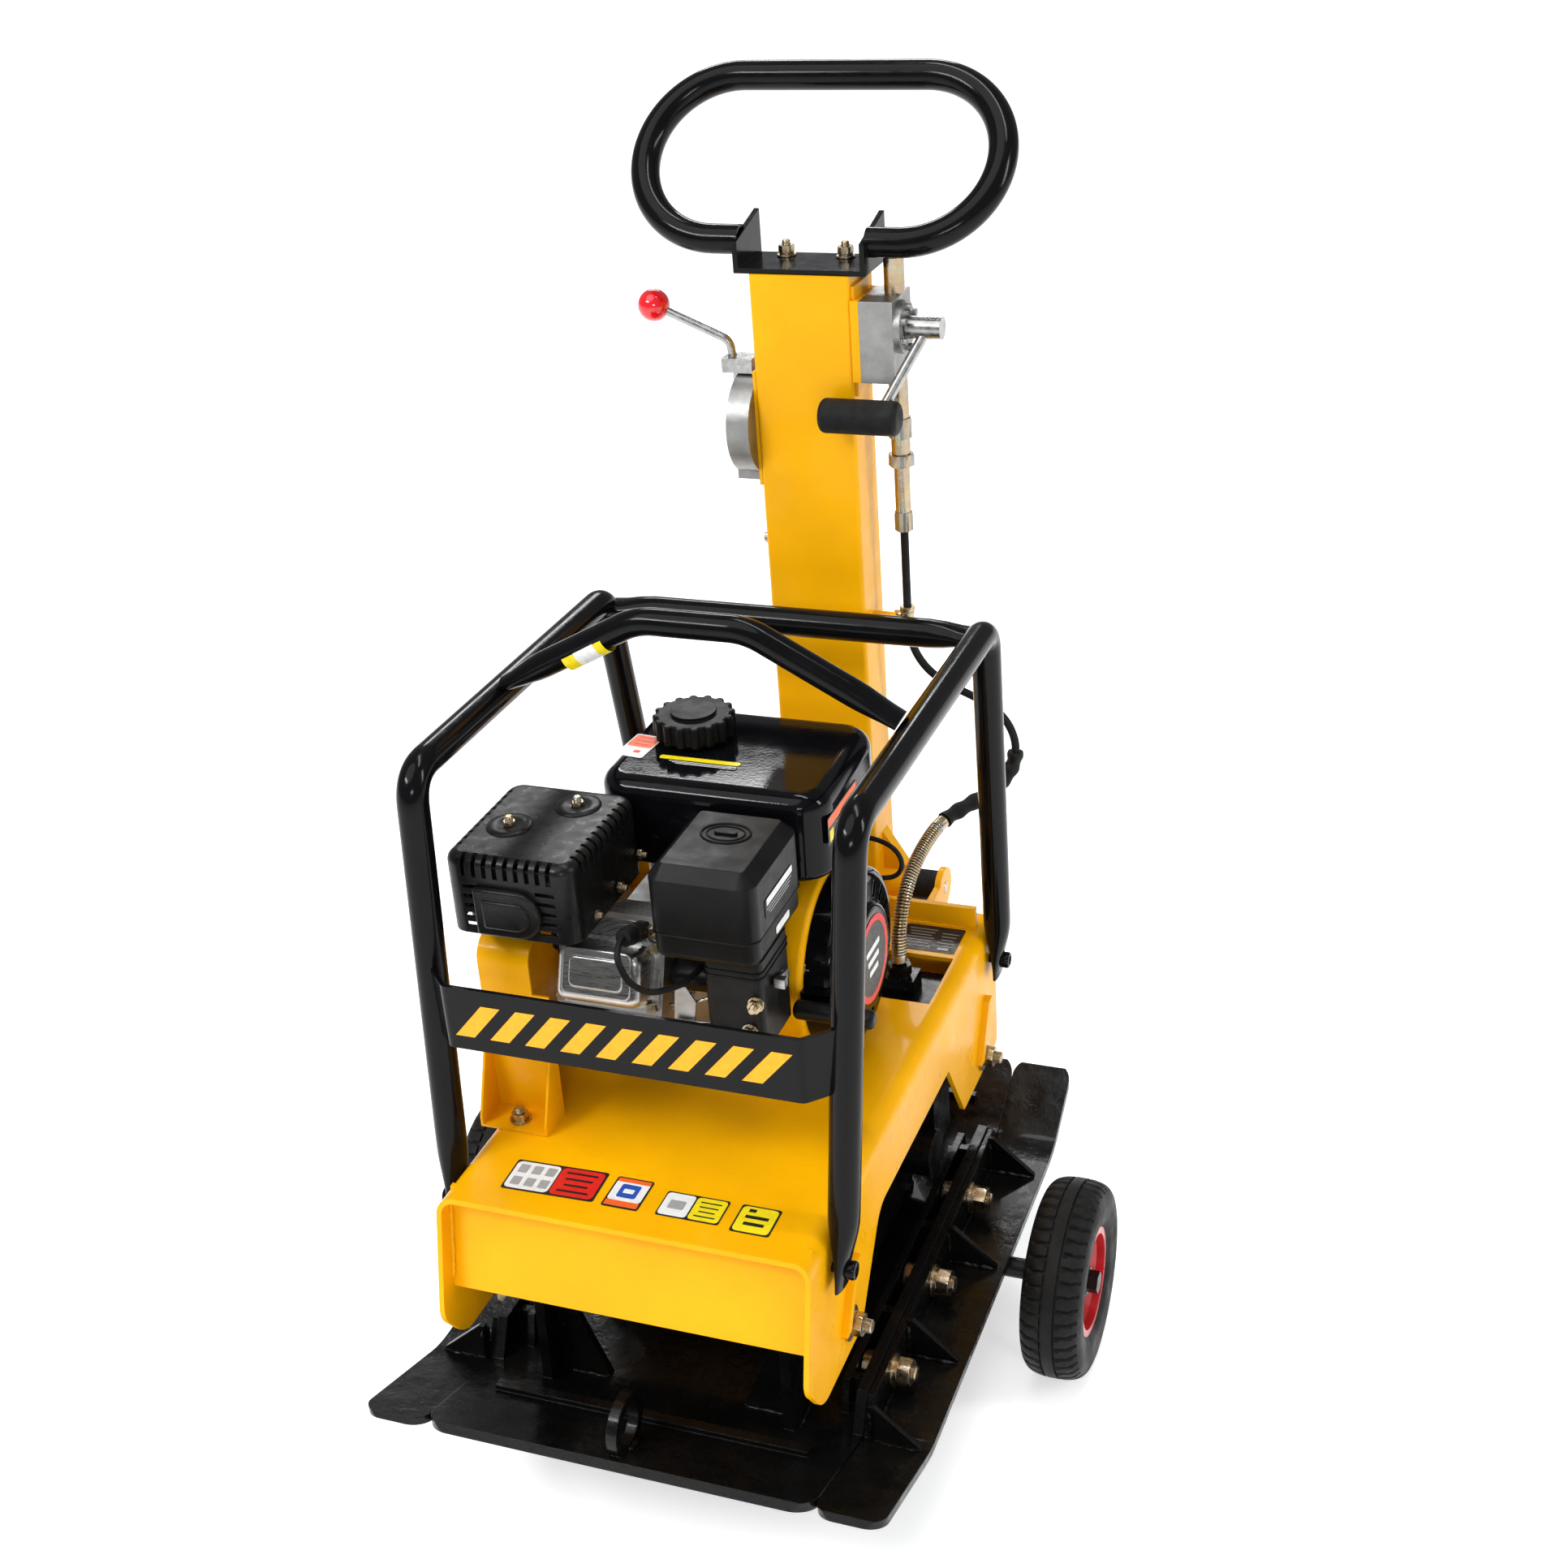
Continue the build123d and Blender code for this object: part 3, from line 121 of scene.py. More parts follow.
class Surface:
    """A Principled material and short ways to drive its sockets from object-space noise."""

    def __init__(self, name, color, roughness, metallic=0.0, coat=0.0, shine=0.5):
        self.material = bpy.data.materials.new(name)
        self.material.use_nodes = True
        self.tree = self.material.node_tree
        self.link = self.tree.links.new
        self.shader = self.tree.nodes["Principled BSDF"]
        self.place = self.tree.nodes.new("ShaderNodeTexCoord").outputs["Object"]
        looks = {"Base Color": (*color, 1.0), "Roughness": roughness, "Metallic": metallic}
        looks.update({"Coat Weight": coat, "Coat Roughness": 0.06, "Specular IOR Level": shine})
        set_inputs(self.shader, looks)
        self.normal = None

    def node(self, kind, inputs):
        made = self.tree.nodes.new(kind)
        set_inputs(made, inputs)
        return made

    def drive(self, socket, output):
        """Feeds one of the shader's sockets."""
        self.link(output, self.shader.inputs[socket])

    def noise(self, scale, detail=3.0, rough=0.5, stretch=(1, 1, 1)):
        """Noise in object coordinates, which stretch multiplies, a number for each axis."""
        made = self.node("ShaderNodeTexNoise", {"Scale": scale, "Detail": detail, "Roughness": rough})
        mapping = self.node("ShaderNodeMapping", {"Scale": stretch})
        self.link(self.place, mapping.inputs["Vector"])
        self.link(mapping.outputs["Vector"], made.inputs["Vector"])
        return made.outputs["Fac"]

    def ramp(self, value, stops):
        """Colours along a value: stops are (position, colour)."""
        made = self.node("ShaderNodeValToRGB", {})
        elements = made.color_ramp.elements
        while len(elements) < len(stops):
            elements.new(0.5)
        for element, (position, color) in zip(elements, stops):
            element.position = position
            element.color = (*color, 1.0)
        self.link(value, made.inputs["Fac"])
        return made.outputs["Color"]

    def spread(self, value, low, high):
        """The middle of a noise value, where most of it lies, stretched over low to high."""
        ends = {"From Min": 0.3, "From Max": 0.7, "To Min": low, "To Max": high}
        made = self.node("ShaderNodeMapRange", ends)
        self.link(value, made.inputs["Value"])
        return made.outputs["Result"]

    def round_edges(self, radius):
        """Softens how sharp edges catch the light."""
        made = self.node("ShaderNodeBevel", {"Radius": radius})
        made.samples = 4
        self.normal = made.outputs["Normal"]
        self.drive("Normal", self.normal)

    def bump(self, height, distance):
        """Adds bumps to whatever drives the normal so far."""
        made = self.node("ShaderNodeBump", {"Distance": distance, "Strength": 1.0})
        self.link(height, made.inputs["Height"])
        if self.normal is not None:
            self.link(self.normal, made.inputs["Normal"])
        self.normal = made.outputs["Normal"]
        self.drive("Normal", self.normal)


def shades(color, amount, end=0.7):
    """Ramp stops from a darker to a lighter version of a colour."""
    dark = tuple(c * (1 - amount) for c in color)
    light = tuple(min(1.0, c * (1 + amount)) for c in color)
    return [(0.3, dark), (end, light)]


def surface(name, color, roughness, tint, wear, grains, edge=0.0, **look):
    """A finished material: noise for colour and roughness, how round edges look, then fine bumps.

    tint is (noise, ramp stops), wear is (noise, low, high) and grains are (noise, height in metres),
    where noise is (scale, detail) or (scale, detail, roughness).
    """
    made = Surface(name, color, roughness, **look)
    made.drive("Base Color", made.ramp(made.noise(*tint[0]), tint[1]))
    made.drive("Roughness", made.spread(made.noise(*wear[0]), *wear[1:]))
    if edge:
        made.round_edges(edge)
    for noise, height in grains:
        made.bump(made.noise(*noise), height)
    return made.material


def gloss_black(name, base, roughness):
    """Smooth black enamel."""
    tint = ((20, 4), shades(base, 0.25))
    wear = ((60, 4), roughness * 0.7, roughness * 1.5)
    return surface(name, base, roughness, tint, wear, [((260, 2), 0.00005)], 0.0012, coat=0.06, shine=0.12)


def cast_metal(name, color, roughness, height):
    """Sand-cast aluminium or iron."""
    tint = ((26, 5, 0.6), shades(color, 0.22, 0.75))
    wear = ((80, 5), roughness * 0.8, roughness * 1.25)
    return surface(name, color, roughness, tint, wear, [((520, 4, 0.6), height)], 0.001, metallic=1.0)


def polished_metal():
    """Pressed and polished cover with faint brush lines."""
    made = Surface("polished_metal", (0.48, 0.48, 0.47), 0.3, metallic=1.0)
    lines = made.noise(60, 3, 0.5, stretch=(1, 1, 26))
    stops = [(0.3, (0.42, 0.42, 0.41)), (0.7, (0.54, 0.54, 0.53))]
    made.drive("Base Color", made.ramp(made.noise(22, 3), stops))
    made.drive("Roughness", made.spread(lines, 0.24, 0.38))
    made.round_edges(0.0016)
    made.bump(lines, 0.00004)
    return made.material


PAINT = (0.90, 0.425, 0.001)
RIM_RED = (0.50, 0.012, 0.018)
KNOB_RED = (0.78, 0.006, 0.012)
ENAMEL = (0.003, 0.003, 0.003)
DUST = (0.007, 0.006, 0.005)
ZINC_TINTS = [
    (0.30, (0.44, 0.42, 0.36)),
    (0.45, (0.47, 0.38, 0.22)),
    (0.58, (0.42, 0.32, 0.23)),
    (0.72, (0.38, 0.39, 0.28)),
]

YELLOW = surface(
    "yellow_paint", PAINT, 0.3, ((9, 4), shades(PAINT, 0.07)), ((30, 4), 0.24, 0.4),
    [((14, 2), 0.0009), ((420, 2), 0.00006)], 0.0014, coat=0.08, shine=0.1,
)
GUARD_BLACK = gloss_black("guard_black", (0.003, 0.003, 0.0035), 0.14)
TANK_BLACK = gloss_black("tank_black", (0.003, 0.003, 0.004), 0.07)
# thick brushed enamel over scale and weld spatter
PLATE_BLACK = surface(
    "plate_black", ENAMEL, 0.2, ((16, 6, 0.65), [(0.45, ENAMEL), (0.85, DUST)]), ((22, 6, 0.6), 0.12, 0.42),
    [((38, 4, 0.6), 0.0016), ((300, 3), 0.00012)], 0.0022, coat=0.08, shine=0.16,
)
SATIN_BLACK = surface(
    "satin_black", (0.006,) * 3, 0.3, ((30, 4), [(0.3, (0.005,) * 3), (0.75, (0.011,) * 3)]),
    ((90, 4), 0.24, 0.38), [((700, 2), 0.00007)], 0.0012, shine=0.2,
)
PLASTIC = surface(
    "black_plastic", (0.005, 0.005, 0.006), 0.36, ((18, 4), [(0.3, (0.004,) * 3), (0.75, (0.008,) * 3)]),
    ((50, 4), 0.3, 0.44), [((1400, 2), 0.00006)], 0.0014, shine=0.14,
)
RUBBER = surface(
    "rubber", (0.007,) * 3, 0.6, ((60, 5), [(0.35, (0.005,) * 3), (0.8, (0.011,) * 3)]),
    ((40, 4), 0.45, 0.75), [((500, 3), 0.00012)], 0.0014, shine=0.18,
)
TYRE = surface(
    "tyre_rubber", (0.008,) * 3, 0.62, ((35, 6, 0.6), [(0.35, (0.005,) * 3), (0.8, (0.012, 0.012, 0.011))]),
    ((30, 4), 0.42, 0.7), [((420, 3), 0.0002)], shine=0.18,
)
RED_PAINT = surface(
    "red_paint", RIM_RED, 0.3, ((30, 5), shades(RIM_RED, 0.15)), ((50, 4), 0.25, 0.45),
    [((400, 2), 0.00006)], 0.001, coat=0.4,
)
RED_PLASTIC = surface(
    "red_plastic", KNOB_RED, 0.1, ((25, 3), shades(KNOB_RED, 0.05)), ((70, 3), 0.08, 0.18),
    [((300, 2), 0.00002)], coat=0.6,
)
ALUMINIUM = cast_metal("cast_aluminium", (0.33, 0.33, 0.32), 0.42, 0.00014)
IRON = cast_metal("cast_iron", (0.10, 0.10, 0.10), 0.5, 0.0003)
POLISHED = polished_metal()
STEEL = surface(
    "turned_steel", (0.38, 0.38, 0.37), 0.32,
    ((70, 4), [(0.3, (0.32, 0.32, 0.31)), (0.7, (0.44, 0.44, 0.43))]),
    ((160, 4), 0.2, 0.38), [((900, 3), 0.00001)], 0.0006, metallic=1.0,
)
# yellow zinc plating with its straw, rose and green tints
ZINC = surface(
    "passivated_zinc", (0.44, 0.38, 0.26), 0.28, ((38, 3, 0.5), ZINC_TINTS), ((140, 4), 0.2, 0.36),
    [((700, 3), 0.00001)], 0.0006, metallic=1.0,
)

NODE_MATERIALS = {
    YELLOW: ["deck", "belt_cover", "pole", "blower_housing"],
    GUARD_BLACK: ["guard_hoop_left", "guard_hoop_right", "guard_bars", "guard_plate", "handle_loop"],
    PLATE_BLACK: [
        "base_plate", "extension_left", "extension_right", "exciter_housing", "exciter_covers",
        "shift_cylinder", "wheel_cradle",
    ],
    TANK_BLACK: ["fuel_tank", "recoil_housing"],
    SATIN_BLACK: ["muffler", "muffler_shield", "wheel_axle"],
    PLASTIC: ["air_cleaner_cover", "air_cleaner_base", "carburettor", "fuel_cap", "starter_grip"],
    RUBBER: [
        "rubber_mounts", "hinge_bushes", "reversing_grip", "spark_plug", "drive_belt", "hose_upper",
        "hydraulic_hose", "hose_sleeve", "throttle_cable",
    ],
    TYRE: ["tyre_left", "tyre_right"],
    RED_PAINT: ["wheel_rim_left", "wheel_rim_right"],
    RED_PLASTIC: ["throttle_knob"],
    ALUMINIUM: ["crankcase", "cylinder", "throttle_quadrant", "pump_block"],
    IRON: [
        "exciter_pulley", "clutch_pulley", "crankshaft", "exciter_front_shaft", "exciter_rear_shaft",
        "exciter_rear_weight",
    ],
    POLISHED: ["valve_cover"],
    STEEL: [
        "exciter_bearings", "shift_piston", "throttle_lever", "pump_rack", "choke_lever",
        "reversing_lever",
    ],
    ZINC: ["extension_bolts", "deck_bolts", "handle_bolts"],
}

for material, names in NODE_MATERIALS.items():
    for name in names:
        mesh = nodes[name].data
        mesh.materials.clear()
        mesh.materials.append(material)


# ---- mesh helpers


def add_mesh(name, points, faces, body, material, smooth_angle=35.0):
    """A new piece from points in the row frame, riding on a body."""
    mesh = bpy.data.meshes.new(name)
    mesh.from_pydata([tuple(p) for p in points], [], faces)
    mesh.update()
    made = bpy.data.objects.new(name, mesh)
    bpy.context.scene.collection.objects.link(made)
    tidy = bmesh.new()
    tidy.from_mesh(mesh)
    bmesh.ops.recalc_face_normals(tidy, faces=tidy.faces)
    tidy.to_mesh(mesh)
    tidy.free()
    mesh.polygons.foreach_set("use_smooth", [True] * len(mesh.polygons))
    mesh.set_sharp_from_angle(angle=math.radians(smooth_angle))
    mesh.materials.append(material)
    if body:
        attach(made, body)
    return made


def frames_along(points):
    """Unit directions and two cross directions that don't twist, one set for each point."""
    directions = []
    for index in range(len(points)):
        before = points[max(index - 1, 0)]
        after = points[min(index + 1, len(points) - 1)]
        directions.append((after - before).normalized())
    helper = UP if abs(directions[0].z) < 0.9 else RIGHT
    across = directions[0].cross(helper).normalized()
    frames = []
    for direction in directions:
        across = (across - direction * across.dot(direction)).normalized()
        frames.append((direction, across, direction.cross(across)))
    return frames


def ring_faces(rings, sides):
    """Faces between rings of vertices, then the first and the last ring as end caps."""
    faces = []
    for ring in range(rings - 1):
        for side in range(sides):
            a = ring * sides + side
            b = ring * sides + (side + 1) % sides
            faces.append((a, b, b + sides, a + sides))
    last = (rings - 1) * sides
    faces.append(tuple(range(sides)))
    faces.append(tuple(range(last, last + sides)))
    return faces


def tube_shape(points, radii, sides):
    """Vertices and faces of a closed round tube along points."""
    verts = []
    for point, radius, (_, across, other) in zip(points, radii, frames_along(points)):
        for angle in turns(sides):
            verts.append(point + (across * math.cos(angle) + other * math.sin(angle)) * radius)
    return verts, ring_faces(len(points), sides)


def add_merged(name, shapes, body, material, smooth_angle=35.0):
    """One new piece from several shapes."""
    verts = []
    faces = []
    for part_verts, part_faces in shapes:
        shift = len(verts)
        verts.extend(part_verts)
        faces.extend(tuple(index + shift for index in face) for face in part_faces)
    return add_mesh(name, verts, faces, body, material, smooth_angle)


def tube(name, points, radius, material, sides):
    """One new round tube along points."""
    verts, faces = tube_shape(points, [radius] * len(points), sides)
    return add_mesh(name, verts, faces, None, material)


def spline_points(control, steps):
    """Points of the smooth NURBS curve through a route's control points."""
    data = bpy.data.curves.new("route", "CURVE")
    data.dimensions = "3D"
    spline = data.splines.new("NURBS")
    spline.points.add(len(control) - 1)
    for point, place in zip(spline.points, control):
        point.co = (*place, 1.0)
    spline.order_u = 3
    spline.use_endpoint_u = True
    spline.resolution_u = steps
    holder = bpy.data.objects.new("route", data)
    bpy.context.scene.collection.objects.link(holder)
    bpy.context.view_layer.update()
    mesh = bpy.data.meshes.new_from_object(holder)
    points = [v.co.copy() for v in mesh.vertices]
    bpy.data.meshes.remove(mesh)
    bpy.data.objects.remove(holder)
    bpy.data.curves.remove(data)
    return points


# ---- hose and cable

# Control points of the two routes, from the pole down, in millimetres from the datum.
HOSE_ROUTE = [
    (PUMP_X, PUMP_Y, 811), (PUMP_X, PUMP_Y, 760), (PUMP_X, PUMP_Y, 699), (101, 403, 672), (108, 407, 645),
    (124, 410, 622), (148, 412, 606), (176, 413, 594), (203, 413, 581), (223, 412, 560),
    (232, 411, 530), (226, 407, 500), (206, 392, 476), (178, 365, 465), (156, 332, 459),
    (147, 292, 449), (142, 252, 435), (140, 222, 414), (139, 204, 390), (139, 194, 362),
    (139, 194, 334),
]
CABLE_ROUTE = [
    (20, 356, 430), (20, 334, 432), (24, 300, 436), (38, 262, 440), (62, 228, 443),
    (94, 206, 446), (122, 193, 450), (146, 184, 462), (154, 182, 482), (142, 185, 500),
    (114, 194, 504), (80, 202, 498), (44, 206, 492), (10, 202, 490), (-14, 180, 496),
    (-22, 148, 512), (-16, 118, 530), (-4, 90, 540), (-4, 58, 540),
]


def line_length(points):
    """Length of a line through points."""
    return sum((b - a).length for a, b in zip(points, points[1:]))


def part_of_line(points, start, end):
    """The stretch of a line of points between two distances along it."""
    kept = []
    travelled = 0.0
    for a, b in zip(points, points[1:]):
        if start <= travelled <= end:
            kept.append(a)
        travelled += (b - a).length
    return kept


def coil_shape(points, coil_radius, wire_radius, pitch):
    """A close-wound wire spring round a line of points."""
    steps_per_turn = 12
    sides = 8
    frames = frames_along(points)
    wire = []
    travelled = 0.0
    for index in range(len(points) - 1):
        a, b = points[index], points[index + 1]
        length = (b - a).length
        pieces = max(1, round(length / pitch * steps_per_turn))
        for piece in range(pieces):
            share = piece / pieces
            angle = 2 * math.pi * (travelled + length * share) / pitch
            across = frames[index][1].lerp(frames[index + 1][1], share)
            other = frames[index][2].lerp(frames[index + 1][2], share)
            offset = across * math.cos(angle) + other * math.sin(angle)
            wire.append(a.lerp(b, share) + offset.normalized() * coil_radius)
        travelled += length
    return tube_shape(wire, [wire_radius] * len(wire), sides)


def make_hose():
    """Hydraulic hose from the hand pump to the shift cylinder, with sleeve and spring guard."""
    line = spline_points([at(*p) for p in HOSE_ROUTE], 14)
    length = line_length(line)
    radius = 0.005
    hose = tube("hydraulic_line", line, radius, RUBBER, 18)
    sleeve_line = part_of_line(line, length * 0.50, length * 0.70)
    wobble = [0.0095 + 0.0009 * math.sin(40 * i / len(sleeve_line)) for i in range(len(sleeve_line))]
    verts, faces = tube_shape(sleeve_line, wobble, 22)
    sleeve = add_mesh("hose_outer_sleeve", verts, faces, None, RUBBER)
    guard_line = part_of_line(line, length * 0.715, length * 0.985)
    verts, faces = coil_shape(guard_line, 0.0076, 0.0017, 0.0038)
    guard = add_mesh("hose_spring_guard", verts, faces, None, ZINC)
    ferrule_line = part_of_line(line, length * 0.697, length * 0.722)
    ferrule = tube("hose_ferrule", ferrule_line, 0.0087, ZINC, 24)
    foot_line = part_of_line(line, length * 0.975, length)
    foot = tube("hose_foot_ferrule", foot_line, 0.0092, ZINC, 24)
    rests = [sleeve, guard, ferrule, foot]
    for piece in [hose, *rests]:
        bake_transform(piece)
    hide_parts("hydraulic_hose", "hose_upper", "hose_sleeve")


def make_cable():
    """Throttle cable from the pole to the governor."""
    line = spline_points([at(*p) for p in CABLE_ROUTE], 12)
    cable = tube("throttle_cable_sheath", line, 0.003, RUBBER, 14)
    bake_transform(cable)
    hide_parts("throttle_cable")


make_hose()
make_cable()

# ---- guard tubes


def bend(before, corner, after, reach):
    """Control points of one tube bend: its two tangent points and the corner."""
    start = corner + (before - corner).normalized() * reach * MM
    end = corner + (after - corner).normalized() * reach * MM
    return [start, corner, end]


def pressed_tube(name, points, across, radius, flat):
    """Round guard tube whose two ends are pressed flat. flat is (length, half thickness)."""
    length = line_length(points)
    sides = 28
    widening = (math.pi / 2 - 1) * 0.72
    verts = []
    for index, (along, _, _) in enumerate(frames_along(points)):
        point = points[index]
        travelled = line_length(points[: index + 1])
        thin = (across - along * across.dot(along)).normalized()
        wide = along.cross(thin)
        thickness = radius
        width = radius
        for distance in (travelled, length - travelled):
            if distance < flat[0]:
                share = distance / flat[0]
                share = share * share * (3 - 2 * share)
                thickness = flat[1] + (radius - flat[1]) * share
                width = radius + widening * (radius - thickness)
        for angle in turns(sides):
            verts.append(point + thin * math.cos(angle) * thickness + wide * math.sin(angle) * width)
    faces = ring_faces(len(points), sides)
    return add_mesh(name, verts, faces, "deck", GUARD_BLACK, 40)


def make_guard():
    """Two hoops with pressed feet, the lifting bar and the rear cross bar."""
    hoop_radius, bar_radius = 0.017, 0.015
    hoop_flat = (0.085, 0.0045)
    bar_flat = (0.055, 0.009)
    for side, name in ((-1, "left"), (1, "right")):
        foot = 222.5 * side
        top = 237 * side
        corners = [at(foot, -283, 248), at(top, -222, 757), at(top, 262, 752), at(foot, 338, 248)]
        control = [corners[0], at(foot + 2 * side, -277, 300)]
        control += bend(corners[0], corners[1], corners[2], 72)
        control += bend(corners[1], corners[2], corners[3], 52)
        control += [at(foot + 2 * side, 331, 300), corners[3]]
        hoop = pressed_tube(f"guard_tube_{name}", spline_points(control, 16), RIGHT, hoop_radius, hoop_flat)
        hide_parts(f"guard_hoop_{name}")
    ends = [at(-225, -20, 770), at(-62, -20, 857), at(62, -20, 857), at(225, -20, 770)]
    control = [ends[0], *bend(ends[0], ends[1], ends[2], 40), *bend(ends[1], ends[2], ends[3], 40), ends[3]]
    arch = pressed_tube("lifting_tube", spline_points(control, 16), UP, bar_radius, bar_flat)
    line = [at(-228 + 456 * step / 24, 262, 742) for step in range(25)]
    cross = pressed_tube("rear_cross_tube", line, UP, hoop_radius, bar_flat)
    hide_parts("guard_bars")
    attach(cross, "deck")


# ---- wheels


def tread_depth(angle, across):
    """Depth of the tread's cut at an angle in radians round the tyre and a place across it in metres."""
    side = abs(across)
    rib, groove, shoulder = 0.0065, 0.0095, 0.0335
    groove_depth = 0.0035
    lug_depth = 0.0032
    lugs = 44
    slope = 1.6
    if side < rib or side > shoulder:
        return 0.0
    if side < groove:
        return groove_depth
    pitch = 2 * math.pi / lugs
    shift = pitch * 0.5 if across > 0 else 0.0
    slant = (side - groove) * slope
    phase = ((angle + shift + slant) % pitch) / pitch
    return lug_depth if phase < 0.2 else 0.0


def make_tyre(side, name):
    """Pneumatic tyre with a centre rib, slanted shoulder lugs and ribbed walls."""
    profile = [
        (0.0258, 0.0622), (0.0295, 0.0665), (0.0335, 0.0730), (0.0352, 0.0800), (0.0350, 0.0812),
        (0.0362, 0.0880), (0.0368, 0.0945), (0.0366, 0.1000), (0.0356, 0.1050), (0.0340, 0.1090),
        (0.0325, 0.1112), (0.0300, 0.1138), (0.0270, 0.1158), (0.0230, 0.1174), (0.0190, 0.1185),
        (0.0150, 0.1192), (0.0120, 0.1196), (0.0096, 0.1198), (0.0093, 0.1199), (0.0067, 0.12),
        (0.0064, 0.12), (0.0030, 0.12),
    ]
    outline = profile + [(-x, r) for x, r in reversed(profile)]
    centre = at(WHEEL_X * side, WHEEL_Y, WHEEL_Z)
    tread_inner_radius = 0.108
    steps = 264
    verts = []
    for angle in turns(steps):
        for across, radius in outline:
            cut = tread_depth(angle, across) if radius > tread_inner_radius else 0.0
            r = radius - cut
            verts.append(centre + Vector((across, math.cos(angle) * r, math.sin(angle) * r)))
    count = len(outline)
    last = (steps - 1) * count
    faces = ring_faces(steps, count)[:-2]
    for index in range(count):
        after = (index + 1) % count
        faces.append((last + index, last + after, after, index))
    tyre = add_mesh(f"tyre_tread_{name}", verts, faces, f"wheel_{name}", TYRE, 40)
    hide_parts(f"tyre_{name}")


def make_wheels():
    """Tyres and the five rim bolts of each wheel."""
    circle = 0.040
    for side, name in ((-1, "left"), (1, "right")):
        make_tyre(side, name)
        centre = at(WHEEL_X * side, WHEEL_Y, WHEEL_Z)
        shapes = []
        for angle in turns(5):
            place = centre + Vector((0.0042 * side, math.cos(angle) * circle, math.sin(angle) * circle))
            shapes.append(hexagon_shape(place, RIGHT * side, 0.0062, 0.006))
        add_merged(f"rim_bolts_{name}", shapes, f"wheel_{name}", ZINC, 30)


# ---- fasteners


def around(axis, sides):
    """(angle, outward direction) for each side round an axis."""
    helper = UP if abs(axis.z) < 0.9 else RIGHT
    first = axis.cross(helper).normalized()
    second = axis.cross(first)
    return [(angle, first * math.cos(angle) + second * math.sin(angle)) for angle in turns(sides)]


def ring_stack(place, axis, sections, sides):
    """Closed body of rings: sections are (distance along the axis, radius)."""
    verts = []
    for distance, radius in sections:
        for _, outward in around(axis, sides):
            verts.append(place + axis * distance + outward * radius)
    return verts, ring_faces(len(sections), sides)


def rod_shape(place, axis, radius, length, sides):
    """Plain round rod or disc."""
    return ring_stack(place, axis, [(0, radius), (length, radius)], sides)


def hexagon_shape(place, axis, corner_radius, height, turn=0.0):
    """Six-sided nut or bolt head whose outer corners are chamfered by a cone."""
    sides = 36
    flat = corner_radius * math.cos(math.pi / 6)
    verts = []
    for distance, cone in ((0.0, 1.0), (height * 0.82, 1.0), (height, 0.9)):
        for angle, outward in around(axis, sides):
            within = (angle + turn) % (math.pi / 3) - math.pi / 6
            radius = flat / math.cos(within)
            radius = min(radius, corner_radius * cone) if cone < 1 else radius
            verts.append(place + axis * distance + outward * radius)
    return verts, ring_faces(3, sides)


def thread_shape(place, axis, radius, length, pitch):
    """End of a bolt with its thread as fine rings."""
    sections = [(0.0, radius * 0.9)]
    distance = 0.0
    while distance + pitch < length:
        sections += [(distance + pitch * 0.25, radius), (distance + pitch * 0.5, radius)]
        sections.append((distance + pitch, radius * 0.88))
        distance += pitch
    sections.append((length, radius * 0.8))
    return ring_stack(place, axis, sections, 24)


def nut_on_thread(place, axis, nut, thread, turn):
    """A nut, (corner radius, height), and the bolt end above it, (radius, length, pitch)."""
    return [
        hexagon_shape(place, axis, *nut, turn),
        thread_shape(place + axis * nut[1], axis, *thread),
    ]


def make_extension_bolts():
    """Bolts of the side extensions with plain washer, spring washer, nut and thread end."""
    rng = random.Random(4)
    washer = [(0, 0.0185), (0.0003, 0.019), (0.0027, 0.019), (0.003, 0.0185)]
    shapes = []
    for side in (-1, 1):
        axis = RIGHT * side
        for y in (-170, -14, 147):
            face = at(233 * side, y, 35)
            shapes.append(ring_stack(face, axis, washer, 40))
            shapes.append(rod_shape(face + axis * 0.003, axis, 0.0160, 0.0045, 36))
            nut = face + axis * 0.0076
            shapes += nut_on_thread(nut, axis, (0.0173, 0.0145), (0.0096, 0.0058, 0.0018), rng.uniform(0, 1))
            head = at(213 * side, y, 35)
            shapes.append(hexagon_shape(head, -axis, 0.0173, 0.0130, rng.uniform(0, 1)))
            shapes.append(rod_shape(at(211 * side, y, 35), axis, 0.0098, 0.022, 24))
    bolts = add_merged("extension_fasteners", shapes, "base", ZINC, 30)
    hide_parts("extension_bolts")


